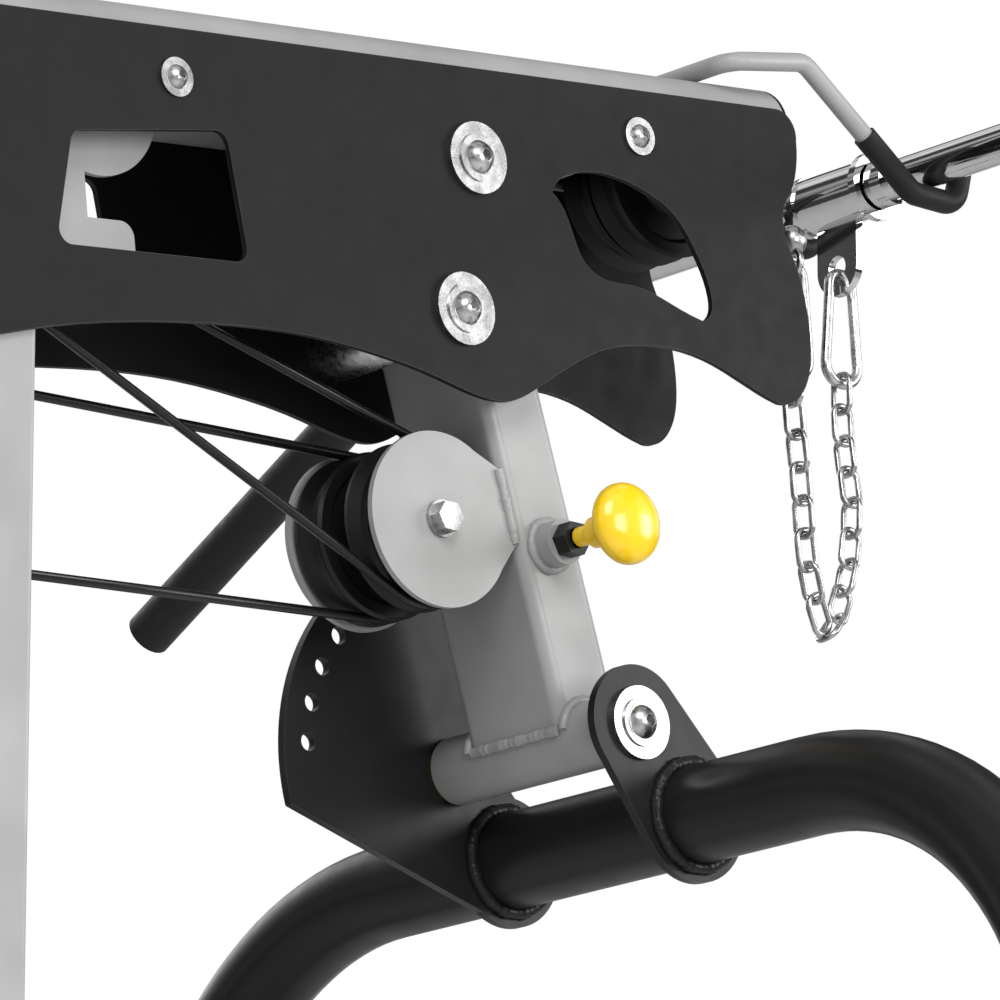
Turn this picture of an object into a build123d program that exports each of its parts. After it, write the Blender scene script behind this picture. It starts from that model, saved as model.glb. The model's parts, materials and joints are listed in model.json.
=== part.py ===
from build123d import *
import math
import os

# Lat pulldown machine with a swinging press arm.
# Frame: +X forward along the boom, -Y near side, +Z up, millimetres.
# The origin is on the floor, under the stop bolt of the press arm.

# ---- driving dimensions -------------------------------------------------
STOP_BOLT_Z = 1850.0       # height of the stop bolt, the origin of the boom's own frame
BOOM_RISE = 6.5            # degrees, the boom rises towards its front
BOOM_W = 120.0             # flat-oval boom tube, across
BOOM_H = 60.0              # flat-oval boom tube, high
BOOM_WALL = 3.0
BOOM_AXIS_Z = 143.0        # tube's axis above the stop bolt, square to the boom
BOOM_FRONT = 290.0
BOOM_REAR = -770.0
CAP_T = 2.5
PLATE_T = 4.0              # boom side plates
PLATE_TOP = 152.4
FIT = 0.3                  # running gap between curved faces

BASE_W = 100.0
BASE_H = 50.0
BASE_WALL = 3.0
BASE_FRONT = 330.0
BASE_REAR = -760.0
FOOT_L = 700.0
FOOT_W = 60.0
MAST_X = 60.0              # rear mast, along X
MAST_Y = 100.0
POST_X = 60.0              # upright posts, along X
POST_Y = 25.0
POST_FRONT = -320.0

PIVOT_X = 9.5              # press-arm pivot, measured from the stop bolt
PIVOT_Z = 97.0
ARM_LEAN = 18.1            # degrees from the vertical at rest
ARM_L = 355.0              # pivot to the lower cross tube
ARM_OFFSET = 5.0          # tube's axis ahead of the pivot line
ARM_TUBE_X = 50.0
ARM_TUBE_Y = 86.0
ARM_WALL = 3.0
ARM_TOP = 30.0             # upright starts this far below the pivot
PIVOT_TUBE_R = 16.0
CROSS_R = 21.2
CROSS_L = 158.0
BUSH_FLANGE = 2.0

PULLEY_R = 52.0
PULLEY_W = 19.6
PRESS_PULLEY_W = 25.0
PULLEY_Y = 12.0            # centre of each pulley of a pair from the middle
PRESS_PULLEY_Y = 23.0
PRESS_PULLEY_S = 209.0     # axle along the arm from its pivot
PRESS_PULLEY_T = -75.6     # axle behind the pivot line
DISC_R = 54.0
DISC_T = 4.0
DISC_OUT = 40.5
CABLE_R = 3.0
GROOVE_DEPTH = 6.0
AXLE_R = 6.0

PIN_S = 237.5              # pop pin along the arm from its pivot
PIN_T = 4.1
PIN_R = 5.0
KNOB_R = 25.0
HOLE_STEP = 12.3           # degrees between the holes of the sector plate
HOLE_COUNT = 7
SIDE_T = 6.0               # sector and lug plates
HANDLE_R = 30.0
HANDLE_DX = 45.0           # handle tube's axis from the cross tube's axis
HANDLE_DZ = -50.0
HANDLE_HALF = 190.0
HANDLE_BEND = 220.0
HANDLE_DROP = 310.0
HANDLE_WALL = 3.0
HANDLE_BAR = 170.0         # grip bars, inwards from the handle tube

STACK_X = -540.0
ROD_PITCH = 180.0
ROD_R = 9.5
ROD_CLEAR = 1.0
WEIGHT_L = 260.0
WEIGHT_W = 110.0
WEIGHT_T = 25.0
WEIGHT_COUNT = 12
SELECTED = 5
CUSHION_T = 30.0
TOP_PLATE_T = 30.0
STEM_R = 12.0

BAR_R = 12.5
BAR_HALF = 426.0
BAR_END = 324.0
BAR_YAW = 1.0

# boom plates, window and hook
BUTTON_BOLTS = [(-211.6, 122.0), (158.0, 122.5)]
BOLT_CLEAR = 0.2
CHEEK_OUT = 31.0
CHEEK_T = 4.0
STACK_SLOT = (-540.0, -418.0)
HOOK_ROD_R = 6.0
SLEEVE_T = 1.6
SLEEVE_START = 0.56        # share of the hook's long run left bare
HOOK_ALONG = 240.0         # rod's place along the boom tube
HOOK_Y = 66.0
HOOK_BEND = 13.0
SADDLE_BACK = 376.0        # flat bottom of a hook, from and to
SADDLE_FRONT = 414.0
HOOK_HUMP = (282.0, 218.0)  # top of the rod behind the hook, above the stop bolt
HOOK_TIP = (424.0, 194.0)
WINDOW_R = 51.0
REAR_R = 40.0
BALL = (333.0, 84.0)
BALL_R = 10.0

# press cables, in degrees of rise, and the hangers over the stack
NEAR_LOWER_RISE = 23.0
NEAR_UPPER_RISE = 13.6
FAR_UPPER_RISE = -1.8
FAR_LOWER_RISE = -4.0
LAT_AXLE_RISE = 43.0       # axle of the lat cable's rear pulley, above the stop bolt
HANGER_IN = 35.0
HANGER_T = 5.0
BOSS_OUT = {-1: 58.0, 1: 77.0}

# stowed bar, snap hooks and chain
BAR_X = 395.0
BAR_Y = 20.0               # the bar hangs a little to the far side
BAR_Z = 172.0
TONGUE_HOLE_R = 8.0
BAR_DROP = 26.8
TONGUE_DROP = 47.0
WIRE = 4.0
LINK_PITCH = 21.0
LINK_WIDE = 18.5
SNAP_WIRE = 3.5
SNAP_L = 80.0
EYE_R = 8.0
EYE_WIRE = 2.5
LINK_COUNT = 16
CHAIN_LOOP = 12.0          # half width of the chain's lowest loop
CHAIN_DROP = 124.0

# seat, back pad and rollers
SEAT_X = 0.0
SEAT_TOP = 470.0
SEAT_T = 60.0
SEAT_L = 360.0
SEAT_W = 280.0
SLEEVE_W = 70.0
SLEEVE_TOP = 300.0
INNER_W = 60.0
BACK_LOW = 600.0
BACK_H = 620.0
BACK_W = 260.0
BACK_T = 60.0
BACK_GAP = 22.0
ROLLER_X = 262.0
ROLLER_Z = 600.0
ROLLER_R = 55.0
ROLLER_L = 170.0
ROLLER_AXLE_R = 12.0

# ---- derived places -----------------------------------------------------
LEAN = math.radians(ARM_LEAN)
DOWN = (math.sin(LEAN), -math.cos(LEAN))
FORE = (math.cos(LEAN), math.sin(LEAN))
PLATE_IN = BOOM_W / 2
PLATE_OUT = PLATE_IN + PLATE_T
PIVOT = (PIVOT_X, STOP_BOLT_Z + PIVOT_Z)
SIDE_IN = CROSS_L / 2 + BUSH_FLANGE
WEIGHT_BASE = BASE_H + CUSHION_T


def arm_point(s, t):
    """World X and Z of a point s down the arm and t ahead of its pivot line."""
    return (PIVOT[0] + s * DOWN[0] + t * FORE[0], PIVOT[1] + s * DOWN[1] + t * FORE[1])


CROSS = arm_point(ARM_L, 0)
HANDLE = (CROSS[0] + HANDLE_DX, CROSS[1] + HANDLE_DZ)
PRESS_AXLE = arm_point(PRESS_PULLEY_S, PRESS_PULLEY_T)
PIN = arm_point(PIN_S, PIN_T)
HOLE_R = math.dist(PIN, CROSS)
HOLE_START = math.degrees(math.atan2(PIN[1] - CROSS[1], PIN[0] - CROSS[0]))
ARM_FRAME = Pos(PIVOT[0], 0, PIVOT[1]) * Rot(0, -ARM_LEAN, 0)
BOOM_FRAME = Pos(0, 0, STOP_BOLT_Z) * Rot(0, -BOOM_RISE, 0)
RISE = math.radians(BOOM_RISE)


def boom_point(x, z):
    """World X and Z of a point given along and square to the boom."""
    return (
        x * math.cos(RISE) - z * math.sin(RISE),
        STOP_BOLT_Z + x * math.sin(RISE) + z * math.cos(RISE),
    )


def boom_local(x, z):
    """Boom coordinates of a world X and Z."""
    dz = z - STOP_BOLT_Z
    return (x * math.cos(RISE) + dz * math.sin(RISE), dz * math.cos(RISE) - x * math.sin(RISE))


# ---- small helpers ------------------------------------------------------
def box(x0, x1, y0, y1, z0, z1):
    """Box from its two corners."""
    return Pos((x0 + x1) / 2, (y0 + y1) / 2, (z0 + z1) / 2) * Box(x1 - x0, y1 - y0, z1 - z0)


def rod_y(x, z, r, y0, y1):
    """Cylinder along Y between y0 and y1."""
    return Pos(x, (y0 + y1) / 2, z) * Rot(90, 0, 0) * Cylinder(r, abs(y1 - y0))


def rod_z(x, y, r, z0, z1):
    """Cylinder along Z between z0 and z1."""
    return Pos(x, y, (z0 + z1) / 2) * Cylinder(r, z1 - z0)


def ring_y(x, z, r_out, r_in, y0, y1):
    """Ring or washer about an axis along Y."""
    return rod_y(x, z, r_out, y0, y1) - rod_y(x, z, r_in, min(y0, y1) - 1, max(y0, y1) + 1)


def slab(face, y0, y1):
    """Face drawn as X and Z, extruded along Y from y0 to y1."""
    way = 1 if y1 > y0 else -1
    return extrude(Plane.XZ.offset(-y0) * face, abs(y1 - y0), dir=(0, way, 0))


def hex_y(x, z, flats, y0, y1):
    """Hexagonal bar along Y."""
    head = RegularPolygon(flats / 2, 6, major_radius=False)
    return slab(Pos(x, z) * head, y0, y1)


def rect_tube_z(x0, x1, y0, y1, z0, z1, wall, round_r=6.0):
    """Upright rectangular tube with rounded corners."""
    outer = Pos((x0 + x1) / 2, (y0 + y1) / 2) * RectangleRounded(x1 - x0, y1 - y0, round_r)
    inner = Pos((x0 + x1) / 2, (y0 + y1) / 2) * RectangleRounded(
        x1 - x0 - 2 * wall, y1 - y0 - 2 * wall, max(round_r - wall, 1.0)
    )
    return extrude(Plane.XY.offset(z0) * (outer - inner), z1 - z0)


def save(name, solids):
    """Write one node, a solid or a group of solids, to parts/."""
    items = solids if isinstance(solids, list) else [solids]
    flat = []
    for item in items:
        flat += list(item.solids())
    shape = flat[0] if len(flat) == 1 else Compound(children=flat)
    export_step(shape, f"parts/{name}.step")
    print(name, len(flat), round(sum(s.volume for s in flat)))


def pulley(x, z, y, r, width, bore_r):
    """Grooved pulley on an axle along Y, with a raised hub and a lip on each side."""
    half = width / 2
    lip = 2.0
    web = 3.0
    profile = Polygon(
        (bore_r, -half), (r * 0.42, -half), (r * 0.46, -half + web), (r - 12, -half + web), (r - 9, -half),
        (r - lip, -half), (r, -half + lip), (r - 1, -half + lip + 1), (r - GROOVE_DEPTH, -2.6),
        (r - GROOVE_DEPTH, 2.6), (r - 1, half - lip - 1), (r, half - lip), (r - lip, half), (r - 9, half),
        (r - 12, half - web), (r * 0.46, half - web), (r * 0.42, half), (bore_r, half), align=None,
    )
    body = revolve(Plane.XY * profile, Axis.Y)
    return Pos(x, y, z) * body


def oval_face(width, height, inset=0.0):
    """Flat-oval section in the Y-Z plane, centred on its axis."""
    return SlotOverall(width - 2 * inset, height - 2 * inset)


def boom_outer(x0, x1, inset=0.0):
    """Flat-oval bar along the boom, in the boom's frame."""
    plane = Plane(origin=(x0, 0, BOOM_AXIS_Z), x_dir=(0, 1, 0), z_dir=(1, 0, 0))
    return extrude(plane * oval_face(BOOM_W, BOOM_H, inset), x1 - x0)


# ---- frame --------------------------------------------------------------
def base_parts():
    """Base rail, two cross feet and the plastic plugs in their ends."""
    mid = (BASE_FRONT + BASE_REAR) / 2
    length = BASE_FRONT - BASE_REAR
    section = RectangleRounded(BASE_W, BASE_H, 6) - RectangleRounded(
        BASE_W - 2 * BASE_WALL, BASE_H - 2 * BASE_WALL, 3
    )
    rail_plane = Plane(origin=(BASE_REAR, 0, BASE_H / 2), x_dir=(0, 1, 0), z_dir=(1, 0, 0))
    rail = extrude(rail_plane * section, length)
    foot_section = RectangleRounded(FOOT_W, BASE_H, 6) - RectangleRounded(
        FOOT_W - 2 * BASE_WALL, BASE_H - 2 * BASE_WALL, 3
    )
    feet = []
    plugs = []
    for x in (BASE_FRONT + FOOT_W / 2, BASE_REAR - FOOT_W / 2):
        plane = Plane(origin=(x, FOOT_L / 2, BASE_H / 2), x_dir=(1, 0, 0), z_dir=(0, -1, 0))
        feet.append(extrude(plane * foot_section, FOOT_L))
        for side in (-1, 1):
            end = side * FOOT_L / 2
            cap = extrude(
                Plane(origin=(x, end, BASE_H / 2), x_dir=(1, 0, 0), z_dir=(0, side, 0))
                * RectangleRounded(FOOT_W, BASE_H, 6),
                4,
            )
            plugs.append(fillet(cap.faces().sort_by(Axis.Y)[-1 if side > 0 else 0].edges(), 2.5))
    save("base_rail", rail)
    save("cross_feet", feet)
    save("foot_plugs", plugs)


def boom_parts():
    """Boom tube with its pulley slots, end caps, welded bolt bosses and side plates."""
    tube = boom_outer(BOOM_REAR, BOOM_FRONT) - boom_outer(BOOM_REAR - 1, BOOM_FRONT + 1, BOOM_WALL)
    under = BOOM_AXIS_Z - BOOM_H / 2
    front_slot = box(158, BOOM_FRONT + 1, -CHEEK_OUT, CHEEK_OUT, under - 1, under + BOOM_WALL + 2)
    rear_slot = box(STACK_SLOT[0], STACK_SLOT[1], -11.5, 11.5, under - 1, under + BOOM_WALL + 2)
    tube -= front_slot + rear_slot
    bore = boom_outer(BOOM_REAR, BOOM_FRONT)
    bosses = []
    for x, z in BUTTON_BOLTS:
        for side in (-1, 1):
            boss = rod_y(x, z, 11, side * (PLATE_IN - 14), side * PLATE_IN) - bore
            bosses.append(boss)
    tube = tube + bosses
    for x, z in BUTTON_BOLTS:
        tube -= rod_y(x, z, 5.2, -PLATE_IN - 1, PLATE_IN + 1)
    save("boom_tube", BOOM_FRAME * tube)
    caps = []
    for x, way in ((BOOM_FRONT, 1), (BOOM_REAR - CAP_T, -1)):
        cap = boom_outer(x, x + CAP_T)
        if way > 0:
            cap -= box(x - 1, x + CAP_T + 1, -CHEEK_OUT, CHEEK_OUT, under - 1, under + BOOM_WALL + 8)
        caps.append(BOOM_FRAME * cap)
    save("boom_end_caps", caps)
    for name, side in (("boom_plate_near", -1), ("boom_plate_far", 1)):
        plate = slab(plate_face(), side * PLATE_IN, side * PLATE_OUT)
        for x, z, r in plate_holes():
            plate -= rod_y(x, z, r, side * (PLATE_IN - 1), side * (PLATE_OUT + 1))
        save(name, BOOM_FRAME * plate)


PIVOT_LOCAL = boom_local(*PIVOT)


def plate_holes():
    """Bolt holes of a boom plate: X, Z and radius in the boom's frame."""
    holes = [(x, z, 4 + BOLT_CLEAR) for x, z in BUTTON_BOLTS]
    holes.append((PIVOT_LOCAL[0], PIVOT_LOCAL[1], 8 + BOLT_CLEAR))
    holes.append((0.0, 0.0, 8 + BOLT_CLEAR))
    return holes


def plate_face():
    """Outline of a boom side plate with its two windows, in the boom's frame."""
    rear = -430.0
    lower = Spline(
        (rear, -66), (-305, -34), (-211, -25.3), (-120, -26.6), (-73, -33), (-27, -43.2), (12, -53.7),
        (32, -54), (57.5, -42.8), (83.3, -28.6), (114, -15.5), (147.8, -10.3), (180.9, -11.5),
        (205.4, -17.4), (238, -31.1), (258.3, -38.5),
    )
    front = Spline(
        (258.3, -38.5), (272, -36), (284.3, -22.3), (289.9, 0.2), (289.5, 23.4), (282.9, 53.3),
        (276.7, 70.1), (277.9, 89.1), (285.1, 99.4), (292.1, 116.7), (293.9, 132.6),
    )
    corner = ThreePointArc((293.9, 132.6), (290.5, 146.5), (277.0, PLATE_TOP))
    outline = lower + front + corner + Polyline((277.0, PLATE_TOP), (rear, PLATE_TOP), (rear, -66))
    face = make_face(outline.edges())
    rear_window = Polygon((-311, 13.5), (-166, 14), (-176, 93.5), (-293, 82.5), align=None)
    rear_window = fillet(rear_window.vertices(), 9)
    top = Spline(
        (81, 80), (86, 87), (102, 94.2), (127, 96), (159.6, 88), (183.2, 74.2), (197.6, 53.3),
        (207.3, 28.7), (206.9, 16), (198.9, 9),
    )
    bottom = Spline((198.9, 9), (184.1, 13.5), (143.8, 26.5), (115.1, 29.7), (103.6, 37.5), (93.9, 59.8), (81, 80))
    front_window = make_face((top + bottom).edges())
    return face - rear_window - front_window


def button_bolts():
    """Four button-head bolts with a washer, one each side at each boss."""
    bolts = []
    for x, z in BUTTON_BOLTS:
        for side in (-1, 1):
            face_y = side * PLATE_OUT
            washer = ring_y(x, z, 12, 4.05, face_y, face_y + side * 1.6)
            head = sphere_head(x, z, face_y + side * 1.6, side, 7.5, 5)
            shank = rod_y(x, z, 4, side * (PLATE_IN - 20), face_y + side * 2)
            bolts.append(BOOM_FRAME * (head + shank + washer))
    save("boom_button_bolts", bolts)


def sphere_head(x, z, y, side, radius, high):
    """Button head with a hexagon socket; its flat seat is at y."""
    ball_r = (radius**2 + high**2) / (2 * high)
    dome = Pos(x, y + side * (high - ball_r), z) * Sphere(ball_r)
    keep = rod_y(x, z, radius + 1, y, y + side * (high + 1))
    head = dome & keep
    return head - hex_y(x, z, radius * 0.62, y + side * high * 0.35, y + side * (high + 2))


def washer_bolt(x, z, y_seat, side, shank_to, shank_r, thick=3.0):
    """Large washer, domed head and shank in one piece."""
    washer = ring_y(x, z, 22.5, shank_r * 0.9, y_seat, y_seat + side * thick)
    washer = washer + ring_y(x, z, 15, shank_r * 0.9, y_seat, y_seat + side * (thick + 1.2))
    head = sphere_head(x, z, y_seat + side * (thick + 1.2), side, 10.5, 7)
    return washer + head + rod_y(x, z, shank_r, shank_to, y_seat + side * (thick + 1.4))


def big_bolt(x, z):
    """Through bolt with a large washer on both boom plates."""
    near = washer_bolt(x, z, -PLATE_OUT, -1, 0, 8)
    return near + washer_bolt(x, z, PLATE_OUT, 1, 0, 8)


def big_bolts():
    """Pivot bolt, and the stop bolt with the spacer tube that the arm's rear face rests near."""
    save("arm_pivot_bolt", big_bolt(*PIVOT))
    ahead = -PIVOT[0] * FORE[0] + (STOP_BOLT_Z - PIVOT[1]) * FORE[1]
    reach = (ARM_OFFSET - ARM_TUBE_X / 2) - ahead - FIT
    tube = ring_y(0, STOP_BOLT_Z, reach, 8.05, -PLATE_IN, PLATE_IN)
    save("stop_bolt", [big_bolt(0, STOP_BOLT_Z), tube])
    print("stop tube radius", round(reach, 2))


# ---- hooks --------------------------------------------------------------


def hook_points(side):
    """Corners of one half of the hook rod, from the middle of the boom outwards."""
    x0, z0 = boom_point(HOOK_ALONG, BOOM_AXIS_Z + BOOM_H / 2 + HOOK_ROD_R)
    low = BAR_C[2] - BAR_R - SLEEVE_T - HOOK_ROD_R - FIT
    y = side * HOOK_Y
    return [
        (x0, 0, z0), (x0, y, z0), (HOOK_HUMP[0], y, STOP_BOLT_Z + HOOK_HUMP[1]),
        (SADDLE_BACK, y, low), (SADDLE_FRONT, y, low),
        (HOOK_TIP[0], y, STOP_BOLT_Z + HOOK_TIP[1]),
    ]


def hook_parts():
    """One bent rod welded across the boom's top, and a rubber sleeve on each hook."""
    halves = []
    sleeves = []
    for side in (-1, 1):
        points = hook_points(side)
        path = FilletPolyline(*points, radius=HOOK_BEND)
        start = Plane(origin=path @ 0, z_dir=path % 0)
        halves.append(sweep(start * Circle(HOOK_ROD_R), path=path))
        a, b = Vector(*points[2]), Vector(*points[3])
        tail = FilletPolyline(a + (b - a) * SLEEVE_START, *points[3:], radius=HOOK_BEND)
        plane = Plane(origin=tail @ 0, z_dir=tail % 0)
        ring = Circle(HOOK_ROD_R + SLEEVE_T) - Circle(HOOK_ROD_R)
        sleeves.append(sweep(plane * ring, path=tail))
    save("hook_rod", halves[0] + halves[1])
    save("hook_sleeves", sleeves)


# ---- boom pulleys -------------------------------------------------------
WINDOW_AXLE = boom_local(207.0, STOP_BOLT_Z + 136.5)


def inner_bracket():
    """Two cheeks in the boom's slot with a cross plate that stops the cable ball."""
    ax, az = WINDOW_AXLE
    under = BOOM_AXIS_Z - BOOM_H / 2
    outline = Polygon(
        (ax - 30, under + 8), (ax - 20, az - 16), (ax + 20, az - 22), (300, az - 20), (300, under - 1),
        (BOOM_FRONT - 1, under - 1), (BOOM_FRONT - 1, under + 8), align=None,
    )
    outline = fillet(outline.vertices().sort_by(Axis.X)[0:3], 6)
    cheeks = []
    for side in (-1, 1):
        cheek = slab(outline, side * (CHEEK_OUT - CHEEK_T), side * CHEEK_OUT)
        cheeks.append(cheek - rod_y(ax, az, AXLE_R + 0.05, side * 20, side * 40))
    cross = box(294, 300, -CHEEK_OUT + CHEEK_T, CHEEK_OUT - CHEEK_T, az - 20, under - 1)
    bracket = cheeks[0] + cheeks[1] + cross
    p0, p1 = ball_line()
    bracket -= cable_bar(p0, p1, CABLE_R + 1.5)
    axle = rod_y(ax, az, AXLE_R, -CHEEK_OUT, CHEEK_OUT)
    save("inner_bracket", [BOOM_FRAME * bracket, BOOM_FRAME * axle])
    for name, y in (("window_pulley_near", -PULLEY_Y), ("window_pulley_far", PULLEY_Y)):
        save(name, BOOM_FRAME * pulley(ax, az, y, WINDOW_R, 22.0, AXLE_R + 0.05))


def ball_line():
    """Start and end of the cable's last straight run, in the boom's frame."""
    ax, az = WINDOW_AXLE
    groove = groove_r(WINDOW_R)
    bx, bz = BALL
    dist = math.dist((ax, az), (bx, bz))
    angle = math.atan2(bz - az, bx - ax) + math.acos(groove / dist)
    start = (ax + groove * math.cos(angle), -PULLEY_Y, az + groove * math.sin(angle))
    return start, (bx, -PULLEY_Y, bz)


def cable_bar(p0, p1, r):
    """Straight round bar between two points."""
    line = Line(p0, p1)
    return sweep(Plane(origin=p0, z_dir=Vector(*p1) - Vector(*p0)) * Circle(r), path=line)


# ---- rear pulleys over the weight stack ---------------------------------
def strand_line(rise, lower):
    """Height of a press cable's strand: its slope and whether it leaves the pulley's underside."""
    angle = math.radians(rise)
    side = -1 if lower else 1
    r = groove_r(PULLEY_R)
    x = PRESS_AXLE[0] + side * r * math.sin(angle)
    z = PRESS_AXLE[1] + side * r * math.cos(angle)
    return x, z, math.tan(angle)


def groove_r(r):
    """Radius of a cable's centre line in a pulley's groove."""
    return r - GROOVE_DEPTH + CABLE_R + FIT


ANCHOR_X = POST_FRONT - POST_X / 2


def stack_pulley_centre(rise, lower):
    """Centre of the pulley that takes a strand and drops it over the stack."""
    x0, z0, slope = strand_line(rise, lower)
    angle = math.radians(rise)
    r = groove_r(PULLEY_R)
    cx = STACK_X + r
    tx = cx + r * math.sin(angle)
    tz = z0 + slope * (x0 - tx)
    return cx, tz - r * math.cos(angle)


NEAR_STACK_AXLE = stack_pulley_centre(NEAR_LOWER_RISE, True)
FAR_STACK_AXLE = stack_pulley_centre(FAR_UPPER_RISE, False)
LAT_STACK_AXLE = (STACK_X + groove_r(REAR_R), STOP_BOLT_Z + LAT_AXLE_RISE)


def stack_pulleys():
    """Hanger cheeks below the boom, three axles and three pulleys over the stack."""
    x0 = STACK_X + 20
    x1 = STACK_X + 78
    low = FAR_STACK_AXLE[1] - 20
    cheeks = []
    axles = []
    tube = BOOM_FRAME * boom_outer(BOOM_REAR, BOOM_FRONT)
    for side in (-1, 1):
        face = Polygon((x0, low + 8), (x0 + 8, low), (x1 - 8, low), (x1, low + 8),
                       (x1, STOP_BOLT_Z + 110), (x0, STOP_BOLT_Z + 110), align=None)
        cheek = slab(face, side * HANGER_IN, side * (HANGER_IN + HANGER_T)) - tube
        for x, z in (NEAR_STACK_AXLE, FAR_STACK_AXLE, LAT_STACK_AXLE):
            cheek -= rod_y(x, z, AXLE_R + 0.05, side * 30, side * 50)
        cheeks.append(cheek)
    ends = HANGER_IN + HANGER_T
    for x, z in (NEAR_STACK_AXLE, FAR_STACK_AXLE, LAT_STACK_AXLE):
        if (x, z) == NEAR_STACK_AXLE:
            axle = rod_y(x, z, AXLE_R, -ends - 4, -PRESS_PULLEY_Y + PULLEY_W / 2 + 1)
            head = rod_y(x, z, 9.5, -ends - 6, -ends)
        else:
            axle = rod_y(x, z, AXLE_R, -ends - 4, ends + 4)
            head = rod_y(x, z, 9.5, -ends - 6, -ends) + rod_y(x, z, 9.5, ends, ends + 6)
        axles.append(axle + head)
    save("pulley_hangers", cheeks + axles)
    save("stack_pulley_near", pulley(*NEAR_STACK_AXLE, -PRESS_PULLEY_Y, PULLEY_R, PULLEY_W, AXLE_R + 0.05))
    save("stack_pulley_far", pulley(*FAR_STACK_AXLE, PRESS_PULLEY_Y, PULLEY_R, PULLEY_W, AXLE_R + 0.05))
    save("stack_pulley_lat", pulley(*LAT_STACK_AXLE, 0, REAR_R, PULLEY_W, AXLE_R + 0.05))


def disc_bracket():
    """Grey double-disc gusset under the boom tube, seen through the rear window."""
    x, z = -250.0, 112.0
    bore = boom_outer(BOOM_REAR, BOOM_FRONT)
    discs = []
    for side in (-1, 1):
        disc = rod_y(x, z, 46, side * 30.5, side * 34.5) - bore
        foot = slab(
            fillet(Polygon((-330, 8), (-228, 8), (-228, 40), (-330, 40), align=None).vertices(), 10),
            side * 30.5, side * 34.5,
        )
        discs.append(disc + foot)
    web = box(-322, -312, -34.5, 34.5, 9, 22)
    neck = box(-300, -262, -34.5, -30.5, 34, 80) + box(-300, -262, 30.5, 34.5, 34, 80)
    save("disc_bracket", BOOM_FRAME * (discs[0] + discs[1] + web + neck))


# ---- press arm ----------------------------------------------------------
def arm_tube_section(extra=0.0):
    """Rounded rectangular section of the upright."""
    return Pos(ARM_OFFSET, 0) * RectangleRounded(ARM_TUBE_X - 2 * extra, ARM_TUBE_Y - 2 * extra, 8 - extra)


def press_upright():
    """Welded upright: pivot tube, neck, tube, pulley discs, pin bosses and cross tube."""
    length = ARM_L - ARM_TOP
    outer = extrude(Plane.XY.offset(-ARM_L) * arm_tube_section(), length)
    hollow = extrude(Plane.XY.offset(-ARM_L - 1) * arm_tube_section(ARM_WALL), length + 1 - ARM_WALL)
    neck = box(-12, 22, -ARM_TUBE_Y / 2, ARM_TUBE_Y / 2, -ARM_TOP - 2, -4)
    pivot = rod_y(0, 0, PIVOT_TUBE_R, -PLATE_IN + 1, PLATE_IN - 1)
    body = outer - hollow + neck + pivot
    rear = ARM_OFFSET - ARM_TUBE_X / 2
    for side in (-1, 1):
        disc = rod_y(PRESS_PULLEY_T, -PRESS_PULLEY_S, DISC_R, side * (DISC_OUT - DISC_T), side * DISC_OUT)
        tail = slab(disc_tail(), side * (DISC_OUT - DISC_T), side * DISC_OUT)
        tail -= box(rear + 1, 60, -DISC_OUT - 1, DISC_OUT + 1, -PRESS_PULLEY_S - 80, -PRESS_PULLEY_S + 80)
        body += disc + tail
        body += rod_y(PIN_T, -PIN_S, 14, side * (ARM_TUBE_Y / 2 - 2), side * BOSS_OUT[side])
    cross_z = -ARM_L
    body += rod_y(0, cross_z, CROSS_R, -CROSS_L / 2, CROSS_L / 2)
    body -= rod_y(0, cross_z, CROSS_R - 3.2, -CROSS_L / 2 - 1, CROSS_L / 2 + 1)
    body -= rod_y(0, 0, 8.05, -PLATE_IN, PLATE_IN)
    body -= rod_y(PRESS_PULLEY_T, -PRESS_PULLEY_S, AXLE_R + 0.05, -DISC_OUT - 1, DISC_OUT + 1)
    body -= rod_y(PIN_T, -PIN_S, PIN_R + 0.1, -80, 80)
    save("press_upright", ARM_FRAME * body)


def disc_tail():
    """Outline of the flat neck between a pulley disc and the upright, in the arm's frame."""
    cx, cz = PRESS_PULLEY_T, -PRESS_PULLEY_S
    root = ARM_OFFSET - ARM_TUBE_X / 2 + 2
    return Polygon(
        (cx, cz + DISC_R), (cx + 28, cz + 46.2), (root, cz + 22), (root, cz - 22), (cx + 28, cz - 46.2),
        (cx, cz - DISC_R), align=None,
    )


def arm_fittings():
    """Cross-tube bushes, press pulleys and their bolt."""
    x, z = CROSS
    bushes = []
    for side in (-1, 1):
        end = side * CROSS_L / 2
        sleeve = ring_y(x, z, CROSS_R - 3.2, 12.1, end - side * 18, end)
        flange = ring_y(x, z, CROSS_R - 0.6, 12.1, end, end + side * (BUSH_FLANGE - 0.2))
        bushes.append(sleeve + flange)
    save("cross_bushes", bushes)
    x, z = PRESS_AXLE
    shank = rod_y(x, z, AXLE_R, -DISC_OUT - 8, DISC_OUT + 6)
    head = hex_y(x, z, 17, -DISC_OUT - 10, -DISC_OUT - 2.5) + rod_y(x, z, 11.5, -DISC_OUT - 2.5, -DISC_OUT)
    nut = hex_y(x, z, 17, DISC_OUT + 1.5, DISC_OUT + 9) + rod_y(x, z, 11.5, DISC_OUT, DISC_OUT + 1.5)
    gap = PRESS_PULLEY_Y - PRESS_PULLEY_W / 2 - FIT
    spacer = rod_y(x, z, 11, -gap, gap)
    save("press_pulley_bolt", shank + head + nut + spacer)
    for name, y in (("press_pulley_near", -PRESS_PULLEY_Y), ("press_pulley_far", PRESS_PULLEY_Y)):
        save(name, pulley(x, z, y, PULLEY_R, PRESS_PULLEY_W, AXLE_R + 0.05))


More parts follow.
